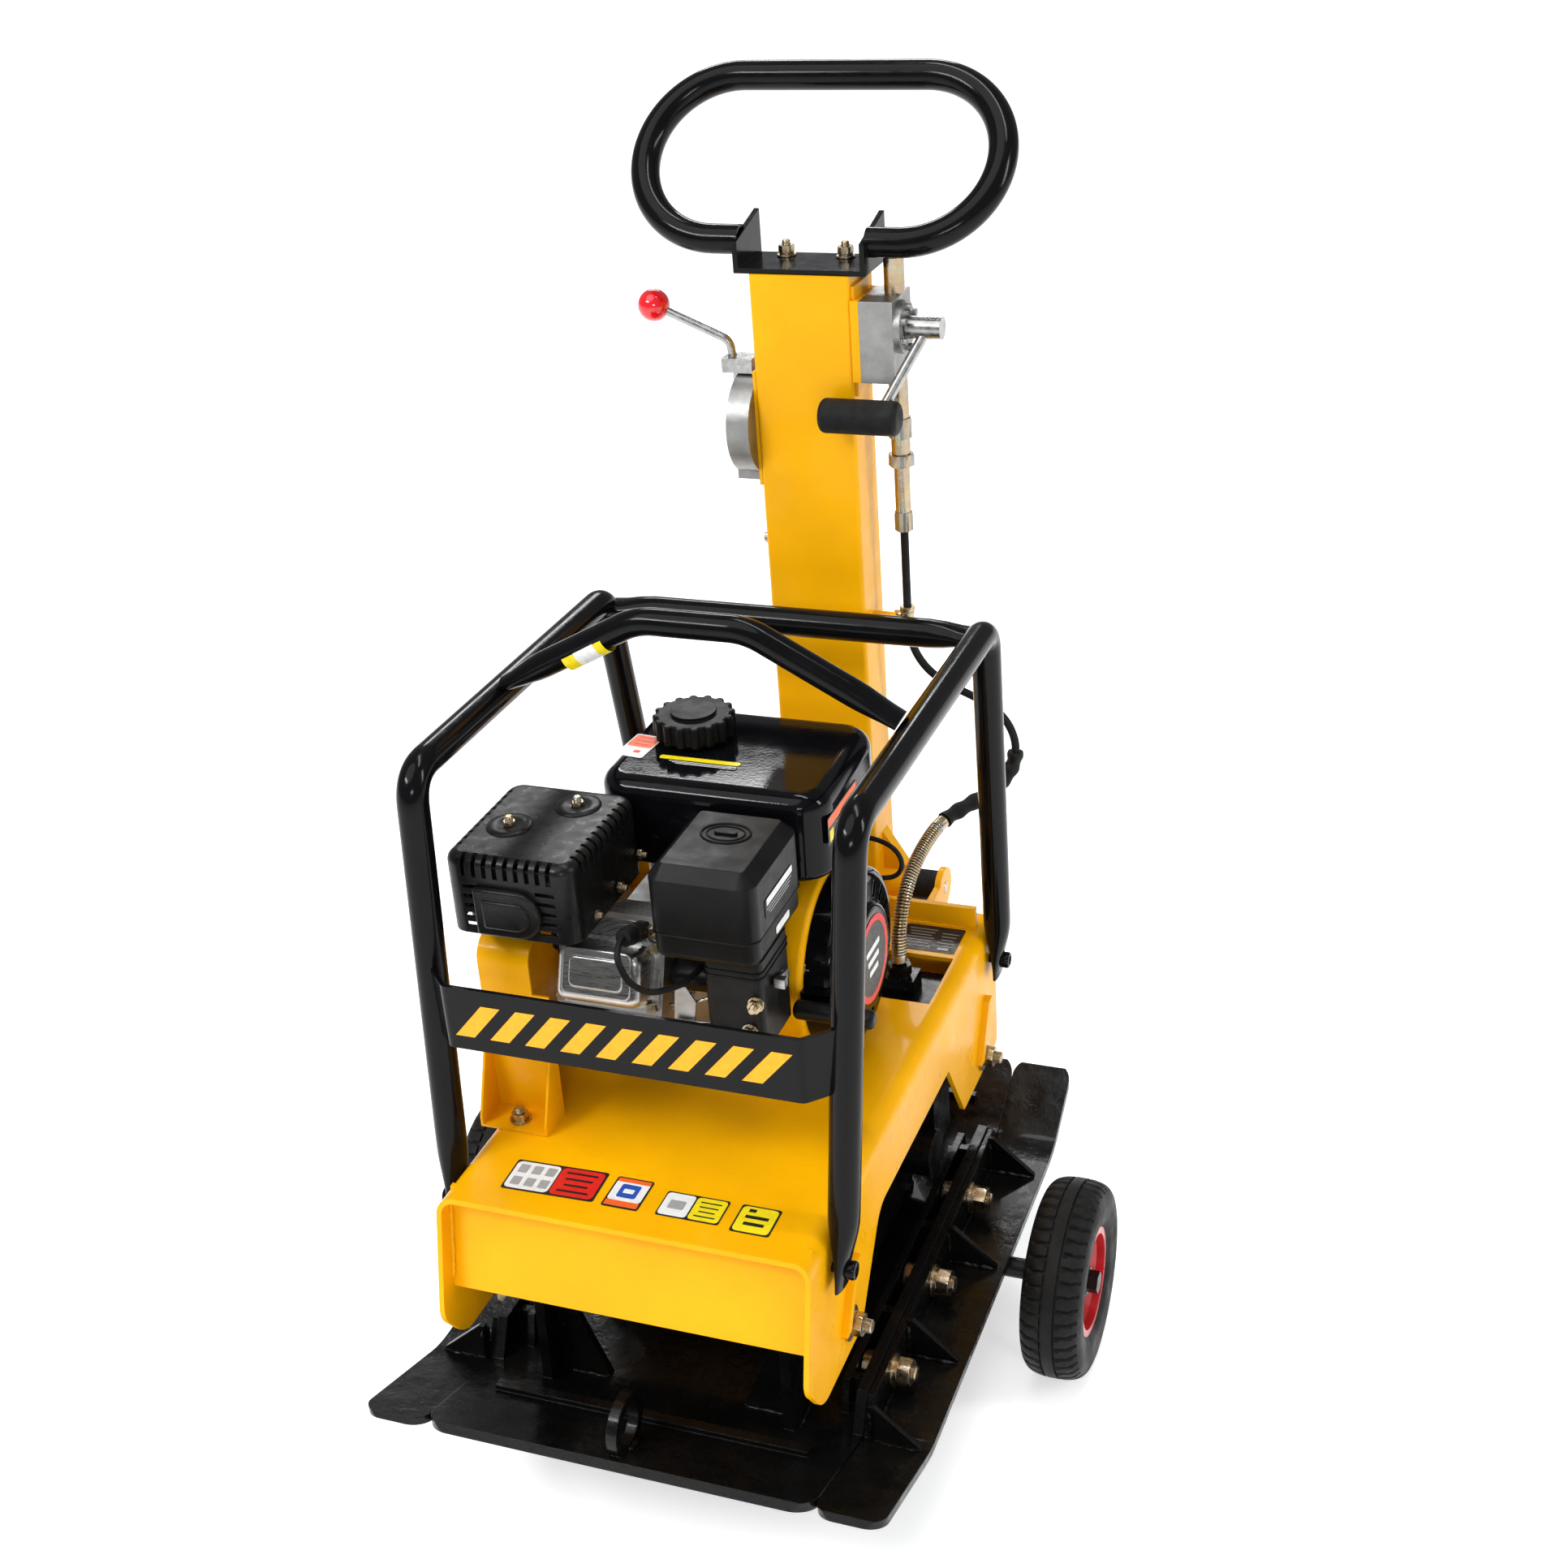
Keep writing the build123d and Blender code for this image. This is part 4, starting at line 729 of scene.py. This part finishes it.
def make_deck_bolts():
    """Mount bolts, black guard bolts, hinge pin and the belt cover's foot bolt."""
    mount_washer = [(0, 0.0195), (0.0003, 0.02), (0.0026, 0.02)]
    guard_head = [(0, 0.0102), (0.0085, 0.0104), (0.0105, 0.0094)]
    guard_head += [(0.0112, 0.0062), (0.0092, 0.0058), (0.0088, 0.001)]
    hinge_pin = [(0, 0.0072), (0.0008, 0.0079), (0.278, 0.0079), (0.2788, 0.0072)]
    cover_washer = [(0, 0.0115), (0.0003, 0.012), (0.0025, 0.012)]
    zinc = []
    black = []
    for side in (-1, 1):
        axis = RIGHT * side
        for y, z in ((-242, 159), (291, 148)):
            face = at(212 * side, y, z)
            zinc.append(rod_shape(at(206 * side, y, z), axis, 0.0079, 0.0062, 24))
            zinc.append(ring_stack(face + axis * 0.0004, axis, mount_washer, 40))
            zinc.append(rod_shape(face + axis * 0.0032, axis, 0.0135, 0.0034, 36))
            nut = face + axis * 0.0068
            zinc += nut_on_thread(nut, axis, (0.0138, 0.0095), (0.0078, 0.0095, 0.0015), 0.3)
        for y in (-281.5, 335.5):
            black.append(ring_stack(at(227.5 * side, y, 267), axis, guard_head, 28))
            black.append(rod_shape(at(206 * side, y, 267), axis, 0.0059, 0.022, 20))
    zinc.append(ring_stack(at(-139.4, 394, 327), RIGHT, hinge_pin, 32))
    zinc.append(ring_stack(at(-182, -195, 317), UP, cover_washer, 36))
    zinc += nut_on_thread(at(-182, -195, 319.6), UP, (0.0098, 0.008), (0.0055, 0.006, 0.0012), 0.2)
    bolts = add_merged("deck_fasteners", zinc, "deck", ZINC, 30)
    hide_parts("deck_bolts")
    add_merged("guard_foot_bolts", black, "deck", GUARD_BLACK, 30)


def make_handle_bolts():
    """Two bolts that hold the handle loop on the pole and one on the pole's left side."""
    washer = [(0, 0.0108), (0.0003, 0.0112), (0.002, 0.0112)]
    shapes = []
    for x in (-36, 36):
        face = at(x, 424, 1130.1)
        shapes.append(rod_shape(at(x, 424, 1121), UP, 0.0048, 0.009, 20))
        shapes.append(ring_stack(face, UP, washer, 36))
        shapes.append(rod_shape(face + UP * 0.0022, UP, 0.0085, 0.0024, 32))
        shapes += nut_on_thread(face + UP * 0.0048, UP, (0.0098, 0.0078), (0.0048, 0.0058, 0.0012), 0.25)
    shapes.append(rod_shape(at(-60.1, 384, 797), -RIGHT, 0.0088, 0.0025, 28))
    shapes.append(hexagon_shape(at(-62.8, 384, 797), -RIGHT, 0.0075, 0.008, 0.1))
    bolts = add_merged("handle_fasteners", shapes, "handle", ZINC, 30)
    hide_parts("handle_bolts")


# ---- weld beads


def weld_shape(start, end, radius, rng):
    """Lumpy bead between two points."""
    ripple = 0.0035
    count = max(4, int((end - start).length / ripple))
    points = []
    radii = []
    for step in range(count + 1):
        share = step / count
        jitter = Vector([rng.uniform(-1, 1) for _ in range(3)]) * radius * 0.22
        points.append(start.lerp(end, share) + jitter)
        ends = min(1.0, 6 * min(share, 1 - share) + 0.35)
        radii.append(radius * ends * rng.uniform(0.72, 1.25))
    return tube_shape(points, radii, 10)


def make_welds():
    """Beads along the rails, lugs, gussets and the tow ring of the base plate, and on the deck."""
    rng = random.Random(11)
    shapes = []

    def bead(start, end, radius=4.0):
        shapes.append(weld_shape(at(*start), at(*end), radius * MM, rng))

    for side in (-1, 1):
        bead((212 * side, -255, 13), (212 * side, 290, 13))
        bead((188 * side, -222, 13), (188 * side, 255, 13))
        for y in (-205, -92, 66, 225):
            for shift in (-6, 6):
                bead((211 * side, y + shift, 13), (190 * side, y + shift, 13), 2.6)
                bead((212 * side, y + shift, 14), (212 * side, y + shift, 48), 2.4)
        for y in (-242, 291):
            for x in (138.5, 153.5):
                bead((x * side, y - 32, 14), (x * side, y + 32, 14), 3.6)
            bead((84 * side, y - 7, 13), (136 * side, y - 7, 13), 3.0)
        for y in (-256, -112, 57, 240):
            for shift in (-5, 5):
                bead((235 * side, y + shift, 11), (288 * side, y + shift, 11), 3.2)
                bead((234 * side, y + shift, 12), (234 * side, y + shift, 54), 3.0)
        bead((234 * side, -258, 11), (234 * side, 290, 11), 2.6)
    for y, z in ((-327, 27), (-313, 22), (351, 30)):
        bead((-182, y, z), (182, y, z + 1), 3.6)
    for x in (-8, 8):
        bead((x, -392, 60), (x, -362, 52), 3.6)
    add_merged("weld_beads_base", shapes, "base", PLATE_BLACK, 60)
    shapes.clear()
    for side in (-1, 1):
        bead((205 * side, -324, 300), (205 * side, -343, 205), 2.6)
        bead((198 * side, 332.5, 316), (198 * side, 332.5, 190), 2.4)
    bead((-190, -322, 307), (190, -322, 307), 2.0)
    bead((-196, 321.5, 315), (196, 321.5, 315), 2.4)
    add_merged("weld_beads_deck", shapes, "deck", YELLOW, 60)


# ---- labels


def rounded_outline(width, height, radius, steps=5):
    """Corner points of a rounded rectangle about its middle."""
    points = []
    for corner in range(4):
        sx = 1 if corner in (0, 3) else -1
        sy = 1 if corner in (0, 1) else -1
        centre = (sx * (width / 2 - radius), sy * (height / 2 - radius))
        for step in range(steps + 1):
            angle = math.pi / 2 * (corner + step / steps)
            points.append((centre[0] + radius * math.cos(angle), centre[1] + radius * math.sin(angle)))
    return points


def slab_shape(outline, place, across, upward, lift, thickness):
    """Thin prism whose outline, in millimetres, lies in the plane of across and upward."""
    normal = across.cross(upward).normalized()
    count = len(outline)
    verts = []
    for height in (lift, lift + thickness):
        for x, y in outline:
            verts.append(place + across * (x * MM) + upward * (y * MM) + normal * height)
    faces = [tuple(range(count)), tuple(range(count, 2 * count))]
    for index in range(count):
        after = (index + 1) % count
        faces.append((index, after, after + count, index + count))
    return verts, faces


def print_ink(name, color):
    """Label film or ink with slight wear."""
    tint = ((160, 4), shades(color, 0.08))
    return surface(name, color, 0.35, tint, ((200, 3), 0.28, 0.455), [((500, 2), 0.00003)], shine=0.3)


INK_WHITE = print_ink("label_white", (0.80, 0.80, 0.78))
INK_BLACK = print_ink("label_black", (0.015, 0.015, 0.015))
INK_RED = print_ink("label_red", (0.70, 0.02, 0.015))
INK_YELLOW = print_ink("label_yellow", (0.86, 0.68, 0.01))
INK_ORANGE = print_ink("label_orange", (0.85, 0.13, 0.02))
INK_BLUE = print_ink("label_blue", (0.02, 0.08, 0.42))
INK_GREY = print_ink("label_grey", (0.35, 0.35, 0.35))
INK_STRIPE = print_ink("stripe_yellow", (0.88, 0.40, 0.006))


def label(name, place, across, upward, size, patches, frame_ink=INK_BLACK):
    """Blank label: a rounded film and colour patches, each (ink, x, y, width, height) in millimetres."""
    across = across.normalized()
    normal = across.cross(upward).normalized()
    upward = normal.cross(across)
    outline = rounded_outline(size[0], size[1], 3)
    verts, faces = slab_shape(outline, place, across, upward, 0.0003, 0.0003)
    add_mesh(name, verts, faces, "deck", frame_ink)
    groups = {}
    for order, (ink, x, y, width, height) in enumerate(patches):
        spot = place + across * x * MM + upward * y * MM
        outline = rounded_outline(width, height, min(width, height) * 0.12, 3)
        lift = 0.0006 + 0.00004 * order
        groups.setdefault(ink, []).append(slab_shape(outline, spot, across, upward, lift, 0.00006))
    for index, (ink, shapes) in enumerate(groups.items()):
        add_merged(f"{name}_print_{index}", shapes, "deck", ink)


def rows(ink, x, y, width, count, pitch, height):
    """A block of plain bars of three lengths in place of writing."""
    lengths = (1.0, 0.88, 0.76)
    return [(ink, x, y - pitch * step, width * lengths[step % 3], height) for step in range(count)]


def make_labels():
    """Blank labels on the deck, on the tank's top and side, and on the air cleaner."""
    wide = [
        (INK_WHITE, -26, 0, 51, 45),
        (INK_RED, 26, 0, 50, 45),
        *[(INK_GREY, -41 + 16 * (step % 3), 11 - 21 * (step // 3), 11, 14) for step in range(6)],
        *rows(INK_BLACK, 26, 15, 36, 4, 10, 3),
    ]
    small = [
        (INK_WHITE, 0, 4, 38, 36),
        (INK_ORANGE, 0, -18, 38, 9),
        (INK_ORANGE, 0, 20, 38, 6),
        (INK_BLUE, 0, 3, 22, 22),
        (INK_WHITE, 0, 3, 12, 7),
    ]
    split = [
        (INK_WHITE, -18, 0, 32, 36),
        (INK_YELLOW, 17, 0, 34, 36),
        (INK_GREY, -18, 0, 18, 14),
        *rows(INK_BLACK, 17, 11, 24, 4, 7.5, 2),
    ]
    square = [(INK_YELLOW, 0, 0, 40, 40), *rows(INK_BLACK, 0, 4, 26, 2, 11, 5), (INK_BLACK, -8, 14, 8, 5)]
    plate = [
        *rows(INK_GREY, -14, 20, 36, 7, 6.6, 1.6),
        *rows(INK_GREY, 22, 14, 22, 5, 7.5, 1.4),
        (INK_GREY, 22, -22, 14, 6),
    ]
    label("label_deck_wide", at(-99, -282, DECK_TOP), Vector((1, 0.03, 0)), BACK, (107, 50), wide)
    label("label_deck_small", at(-14, -282, DECK_TOP), RIGHT, BACK, (42, 50), small)
    label("label_deck_split", at(62, -286, DECK_TOP), RIGHT, BACK, (71, 40), split)
    label("label_deck_square", at(133, -288, DECK_TOP), RIGHT, BACK, (44, 44), square)
    label("nameplate", at(150, 288, DECK_TOP), RIGHT, BACK, (76, 58), plate)
    corner = [
        (INK_ORANGE, 0, 11, 31, 28),
        (INK_WHITE, 0, -15, 31, 20),
        *rows(INK_RED, 0, 20, 22, 3, 8, 2),
        (INK_RED, 4, -14, 8, 6),
    ]
    lines = rows(INK_WHITE, 2, 2.5, 80, 3, 2.6, 1.0)
    tank_side = [
        (INK_ORANGE, 0, 10, 94, 11),
        (INK_YELLOW, -38, -7, 12, 14),
        *rows(INK_WHITE, 12, 0, 66, 4, 4.4, 1.6),
    ]
    cleaner_side = [(INK_WHITE, 2, 6, 76, 8), *rows(INK_GREY, 0, -1.5, 74, 3, 3.6, 1.2)]
    skew = Vector((1, -0.1, 0))
    label("label_tank_corner", at(-113, 62, TANK_TOP), skew, BACK, (34, 54), corner, INK_WHITE)
    label("label_tank_bar", at(-32, 43, TANK_TOP), RIGHT, BACK, (96, 8), [], INK_YELLOW)
    label("label_tank_lines", at(-28, 33, TANK_TOP), RIGHT, BACK, (88, 9), lines, TANK_BLACK)
    label("label_tank_side", at(131.6, 45, 618), BACK, UP, (98, 34), tank_side)
    label("label_cleaner_side", at(112.1, -108, 603), BACK, UP, (82, 22), cleaner_side, PLASTIC)
    label("label_cleaner_mark", at(110.7, -100, 561), BACK, UP, (40, 9), [], INK_WHITE)


def make_guard_stripes():
    """Band of slanted yellow stripes across the guard plate."""
    outline = ((-28, -20), (-6, -20), (28, 20), (6, 20))
    shapes = []
    for step in range(9):
        place = at(-160 + 40 * step, -289.15, 511)
        shapes.append(slab_shape(outline, place, RIGHT, UP, 0.0, 0.0003))
    add_merged("guard_plate_stripes", shapes, "deck", INK_STRIPE)


# ---- engine


def boss_outline(shrink):
    """Outline of the shield's boss, round on the right and square on the left, drawn in by shrink."""
    steps = 18
    outline = []
    for step in range(steps + 1):
        angle = -math.pi / 2 + math.pi * step / steps
        outline.append((14 + (28 - shrink) * math.cos(angle), (28 - shrink) * math.sin(angle)))
    outline += [(-34 + shrink, 28 - shrink), (-34 + shrink, -28 + shrink)]
    return outline


def make_muffler_details():
    """Pressed dimples with bolts on the heat shield and the raised boss on its front."""
    dimple = [(0.0, 0.026), (0.0012, 0.0255), (0.0024, 0.022)]
    dimple += [(0.0022, 0.014), (0.0008, 0.0095), (0.0006, 0.001)]
    bolts = []
    dimples = []
    for x, y in ((-186, -124), (-132, -66)):
        place = at(x, y, SHIELD_TOP)
        dimples.append(ring_stack(place, UP, dimple, 40))
        bolts += nut_on_thread(place + UP * 0.0012, UP, (0.0072, 0.0045), (0.0044, 0.006, 0.001), 0.4)
    add_merged("shield_dimples", dimples, "deck", SATIN_BLACK, 50)
    for place in (at(-78.5, -40, 585), at(-78.5, -96, 575), at(-84, -150, 571)):
        bolts += nut_on_thread(place, RIGHT, (0.0066, 0.005), (0.0036, 0.005, 0.001), 0.3)
    add_merged("shield_bolts", bolts, "deck", ZINC, 30)
    middle = at(-160, -199.5, 592)
    steps = [slab_shape(boss_outline(0), middle, RIGHT, UP, 0.0, 0.009)]
    steps.append(slab_shape(boss_outline(11), middle, RIGHT, UP, 0.0, 0.013))
    boss = add_merged("shield_boss", steps, "deck", SATIN_BLACK, 50)
    soften(boss, 0.003)


def soften(piece, width):
    """Rounds a piece's edges."""
    made = piece.modifiers.new("soft", "BEVEL")
    made.width = width
    made.segments = 3
    made.limit_method = "ANGLE"
    made.harden_normals = False


def tilted(x, along, upward):
    """Point in the tilted cylinder's own frame: across, out along its axis, and up square to it."""
    y = CRANK_Y - math.cos(CYLINDER_TILT) * along + math.sin(CYLINDER_TILT) * upward
    z = CRANK_Z + math.sin(CYLINDER_TILT) * along + math.cos(CYLINDER_TILT) * upward
    return at(CYLINDER_X + x, y, z)


def make_cover_ribs(upward):
    """Two raised steps pressed into the valve cover."""
    ribs = []
    for width, height, thickness in ((80, 52, 3.0), (62, 34, 5.0)):
        outline = rounded_outline(width, height, 7)
        ribs.append(slab_shape(outline, tilted(0, 236, 0), RIGHT, upward, 0.0, thickness * MM))
    pressed = add_merged("valve_cover_ribs", ribs, "deck", POLISHED, 50)
    soften(pressed, 0.0024)


def make_engine_bolts(outward):
    """Bolts of the valve cover and the head, studs under the air cleaner, bolts on the engine's right."""
    bolts = []
    for x in (-53, 53):
        for height in (-38, 28):
            bolts.append(hexagon_shape(tilted(x, 204, height), outward, 0.0068, 0.0055, 0.2))
    for x in (-54, 50):
        bolts += nut_on_thread(tilted(x, 200, 47), outward, (0.0085, 0.0075), (0.0048, 0.0055, 0.001), 0.5)
    for x, z in ((58, 452), (92, 462), (101, 497)):
        bolts.append(rod_shape(at(x, -164.8, z), -BACK, 0.009, 0.0022, 30))
        bolts += nut_on_thread(at(x, -167, z), -BACK, (0.0082, 0.0066), (0.0042, 0.0068, 0.001), 0.1)
    for y, z in ((-24.96, 502.16), (-19.8, 368.72), (92, 368.72), (116.08, 502.16)):
        bolts.append(hexagon_shape(at(HOUSING_FACE + 0.2, y, z), RIGHT, 0.0066, 0.005, 0.4))
    add_merged("engine_bolts", bolts, "deck", ZINC, 30)


def make_governor():
    """Thin rods, the lever and the small bracket in front of the cylinder."""
    routes = [
        [(-14, -70, 528), (4, -96, 527), (12, -134, 524)],
        [(-6, -150, 470), (14, -160, 476), (42, -150, 486)],
        [(8, -158, 456), (26, -166, 462), (46, -158, 460)],
    ]
    rods = []
    for route in routes:
        line = spline_points([at(*p) for p in route], 8)
        rods.append(tube_shape(line, [0.0016] * len(line), 10))
    add_merged("governor_rods", rods, "deck", STEEL, 50)
    lever = ((-12, -22), (12, -26), (16, 6), (6, 24), (-8, 20))
    bracket = ((-20, -7), (20, -7), (22, 7), (-18, 9))
    arms = [slab_shape(lever, at(14, -158, 478), RIGHT, UP, 0.0, 0.0025)]
    arms.append(slab_shape(bracket, at(24, -164, 455), RIGHT, UP, 0.0, 0.003))
    plate = add_merged("governor_bracket", arms, "deck", ALUMINIUM, 40)
    soften(plate, 0.001)


def make_head_ribs():
    """Four arched ribs on the cylinder head."""
    ribs = []
    for step in range(4):
        radius = 26 + 7.5 * step
        points = []
        for turn in range(25):
            angle = math.radians(20 + 7.5 * turn)
            points.append(tilted(18 + math.cos(angle) * radius, 203, 20 + math.sin(angle) * radius * 0.7))
        ribs.append(tube_shape(points, [0.0013] * len(points), 8))
    add_merged("head_ribs", ribs, "deck", ALUMINIUM, 50)


def make_cylinder_details():
    """Everything small on the tilted cylinder and round it."""
    outward = Vector((0, -math.cos(CYLINDER_TILT), math.sin(CYLINDER_TILT)))
    upward = Vector((0, math.sin(CYLINDER_TILT), math.cos(CYLINDER_TILT)))
    make_cover_ribs(upward)
    make_engine_bolts(outward)
    make_governor()
    make_head_ribs()
    boot = [(0, 0.0103), (0.003, 0.0112), (0.006, 0.0103), (0.016, 0.0103), (0.019, 0.0112)]
    boot += [(0.022, 0.0103), (0.033, 0.0103), (0.037, 0.0085), (0.038, 0.004)]
    verts, faces = ring_stack(tilted(36, 216, 46), outward, boot, 32)
    add_mesh("plug_boot_ribs", verts, faces, "deck", RUBBER, 50)


def make_cleaner_details():
    """Oval mark on the lid, the seam band and the steps of the lower box."""
    mark = []
    for radius_x, radius_y, wire in ((27, 21, 1.5), (21, 15, 1.1)):
        points = []
        for step in range(49):
            angle = 2 * math.pi * step / 48
            x = LID_CENTRE[0] + radius_x * math.cos(angle)
            y = LID_CENTRE[1] + radius_y * math.sin(angle)
            points.append(at(x, y, LID_TOP + 0.2))
        mark.append(tube_shape(points, [wire * MM] * len(points), 10))
    bar = rounded_outline(26, 7, 3.4)
    mark.append(slab_shape(bar, at(*LID_CENTRE, LID_TOP), RIGHT, BACK, 0.0, 0.0026))
    raised = add_merged("cleaner_lid_mark", mark, "deck", PLASTIC, 50)
    soften(raised, 0.0006)
    seam = rounded_outline(121.4, 145.4, 16)
    step_outline = rounded_outline(69, 88, 11)
    bands = [slab_shape(seam, at(52, -108, 575), RIGHT, BACK, 0.0, 0.0024)]
    for z in (531, 524):
        bands.append(slab_shape(step_outline, at(75, -122, z), RIGHT, BACK, 0.0, 0.0022))
    band = add_merged("cleaner_bands", bands, "deck", PLASTIC, 50)
    soften(band, 0.0009)


def make_recoil_details():
    """Ringed disc with blank bars on the recoil hub, and the bolts round the recoil housing."""
    hub = at(HUB_FACE, CRANK_Y, CRANK_Z)
    for name, inner, outer, ink in (
        ("recoil_ring", 0.044, 0.052, INK_RED),
        ("recoil_disc", 0.001, 0.0437, INK_BLACK),
    ):
        rings = [(0.0002, inner), (0.0002, outer), (0.0007, outer), (0.0007, inner)]
        verts, faces = ring_stack(hub, RIGHT, rings, 64)
        add_mesh(name, verts, faces[:-2], "deck", ink)
    bars = []
    for step in range(3):
        outline = rounded_outline(46 - 8 * step, 7, 2)
        place = hub + UP * (0.014 - 0.014 * step)
        bars.append(slab_shape(outline, place, BACK, UP, 0.0008, 0.0002))
    add_merged("recoil_bars", bars, "deck", INK_WHITE)
    bolts = []
    for step in range(3):
        angle = math.radians(100 + 120 * step)
        place = at(RECOIL_FACE - 6, CRANK_Y, CRANK_Z) + Vector((0, math.cos(angle), math.sin(angle))) * 0.094
        bolts.append(hexagon_shape(place, RIGHT, 0.0062, 0.0052, 0.2))
    for y, z in ((-46, 470), (-40, 398)):
        bolts.append(rod_shape(at(HOUSING_FACE, y, z), RIGHT, 0.008, 0.0016, 24))
        bolts.append(hexagon_shape(at(HOUSING_FACE + 1.6, y, z), RIGHT, 0.0066, 0.005, 0.2))
    add_merged("recoil_bolts", bolts, "deck", ZINC, 30)


def make_hose_clip():
    """Clamp with its screw round the hose at the pole stub."""
    band = [(0, 0.0078), (0.0004, 0.0082), (0.0116, 0.0082), (0.012, 0.0078)]
    shapes = [
        ring_stack(at(PUMP_X, PUMP_Y, 694), UP, band, 30),
        rod_shape(at(84, PUMP_Y, 700), RIGHT, 0.0062, 0.009, 24),
        hexagon_shape(at(PUMP_X, 392.5, 700), -BACK, 0.0052, 0.006, 0.2),
        hexagon_shape(at(PUMP_X, PUMP_Y, 706.5), UP, 0.0095, 0.006, 0.4),
    ]
    add_merged("hose_clip", shapes, "handle", ZINC, 30)


def make_pump_tubes():
    """Plated tubes and fittings above and below the pump block, without end caps."""
    top_tube = [(0, 0.0118), (0.0405, 0.0118), (0.041, 0.0112)]
    shapes = [ring_stack(at(PUMP_X, PUMP_Y, 1097.3), UP, top_tube, 36)]
    rods = [(949, 0.0113, 0.0538), (906, 0.0113, 0.02), (833, 0.0093, 0.059)]
    fittings = [(925.8, 0.0141, 0.0244, 0.1), (891.8, 0.0158, 0.0144, 0.3), (810.8, 0.0112, 0.0234, 0.2)]
    for z, radius, length in rods:
        shapes.append(rod_shape(at(PUMP_X, PUMP_Y, z), UP, radius, length, 36))
    for z, radius, height, turn in fittings:
        shapes.append(hexagon_shape(at(PUMP_X, PUMP_Y, z), UP, radius, height, turn))
    open_ended = [(points, sides[:-2]) for points, sides in shapes]
    add_merged("pump_tubes", open_ended, "handle", ZINC, 30)


def make_arch_label():
    """Wrapped yellow and white label on the left slope of the lifting bar."""
    start = at(-146, -20, 807.5)
    end = at(-98, -20, 834)
    for name, first, last, steps, radius, ink in (
        ("label_lifting_bar", 0.0, 1.0, 6, 0.01535, INK_YELLOW),
        ("label_lifting_bar_print", 0.3, 0.8, 4, 0.0155, INK_WHITE),
    ):
        line = [start.lerp(end, first + (last - first) * step / steps) for step in range(steps + 1)]
        verts, faces = tube_shape(line, [radius] * len(line), 40)
        add_mesh(name, verts, faces[:-2], "deck", ink)


make_guard()
make_wheels()
make_extension_bolts()
make_deck_bolts()
make_handle_bolts()
make_welds()
make_labels()
make_guard_stripes()
make_muffler_details()
make_cylinder_details()
make_cleaner_details()
make_recoil_details()
make_hose_clip()
make_pump_tubes()
make_arch_label()


# ---- light and floor


def make_floor():
    """White square floor, 60 m across."""
    half = 30
    corners = [Vector((x, y, 0)) for x, y in ((-half, -half), (half, -half), (half, half), (-half, half))]
    floor = add_mesh("floor", corners, [(0, 1, 2, 3)], None, floor_material())


def floor_material():
    """White that glows a little, so that it reads as white under the low lights."""
    made = Surface("floor_white", (0.93, 0.93, 0.93), 0.9, shine=0.1)
    set_inputs(made.shader, {"Emission Color": (1.0, 1.0, 1.0, 1.0), "Emission Strength": 0.55})
    return made.material


def area_light(name, place, size, power):
    """Rectangular light aimed at the machine's middle."""
    data = bpy.data.lights.new(name, "AREA")
    data.shape = "RECTANGLE"
    data.size, data.size_y = size
    data.energy = power
    light = bpy.data.objects.new(name, data)
    light.location = place
    aim = Vector((0, 0, 0.6)) - Vector(place)
    light.rotation_euler = aim.to_track_quat("-Z", "Y").to_euler()
    bpy.context.scene.collection.objects.link(light)


def make_lights():
    """Five narrow area lights, a wide soft light from above and a dim world."""
    area_light("key", (-2.6, -3.4, 4.2), (2.0, 0.5), 120)
    area_light("front", (1.8, -4.6, 2.6), (1.4, 0.5), 38)
    area_light("top", (0.4, 0.6, 4.8), (3.0, 0.4), 60)
    area_light("right", (4.2, 0.2, 2.8), (0.5, 2.2), 60)
    area_light("rear", (-1.6, 4.2, 3.4), (2.2, 0.5), 50)
    sun = bpy.data.lights.new("sky", "SUN")
    sun.energy = 1.12
    sun.angle = math.radians(50)
    overhead = bpy.data.objects.new("sky", sun)
    overhead.rotation_euler = (math.radians(24), math.radians(-14), 0)
    bpy.context.scene.collection.objects.link(overhead)
    world = bpy.data.worlds.new("studio")
    world.use_nodes = True
    set_inputs(world.node_tree.nodes["Background"], {"Color": (0.95, 0.97, 1.0, 1.0), "Strength": 0.3})
    bpy.context.scene.world = world
    bpy.context.scene.view_settings.view_transform = "Standard"


make_floor()
make_lights()
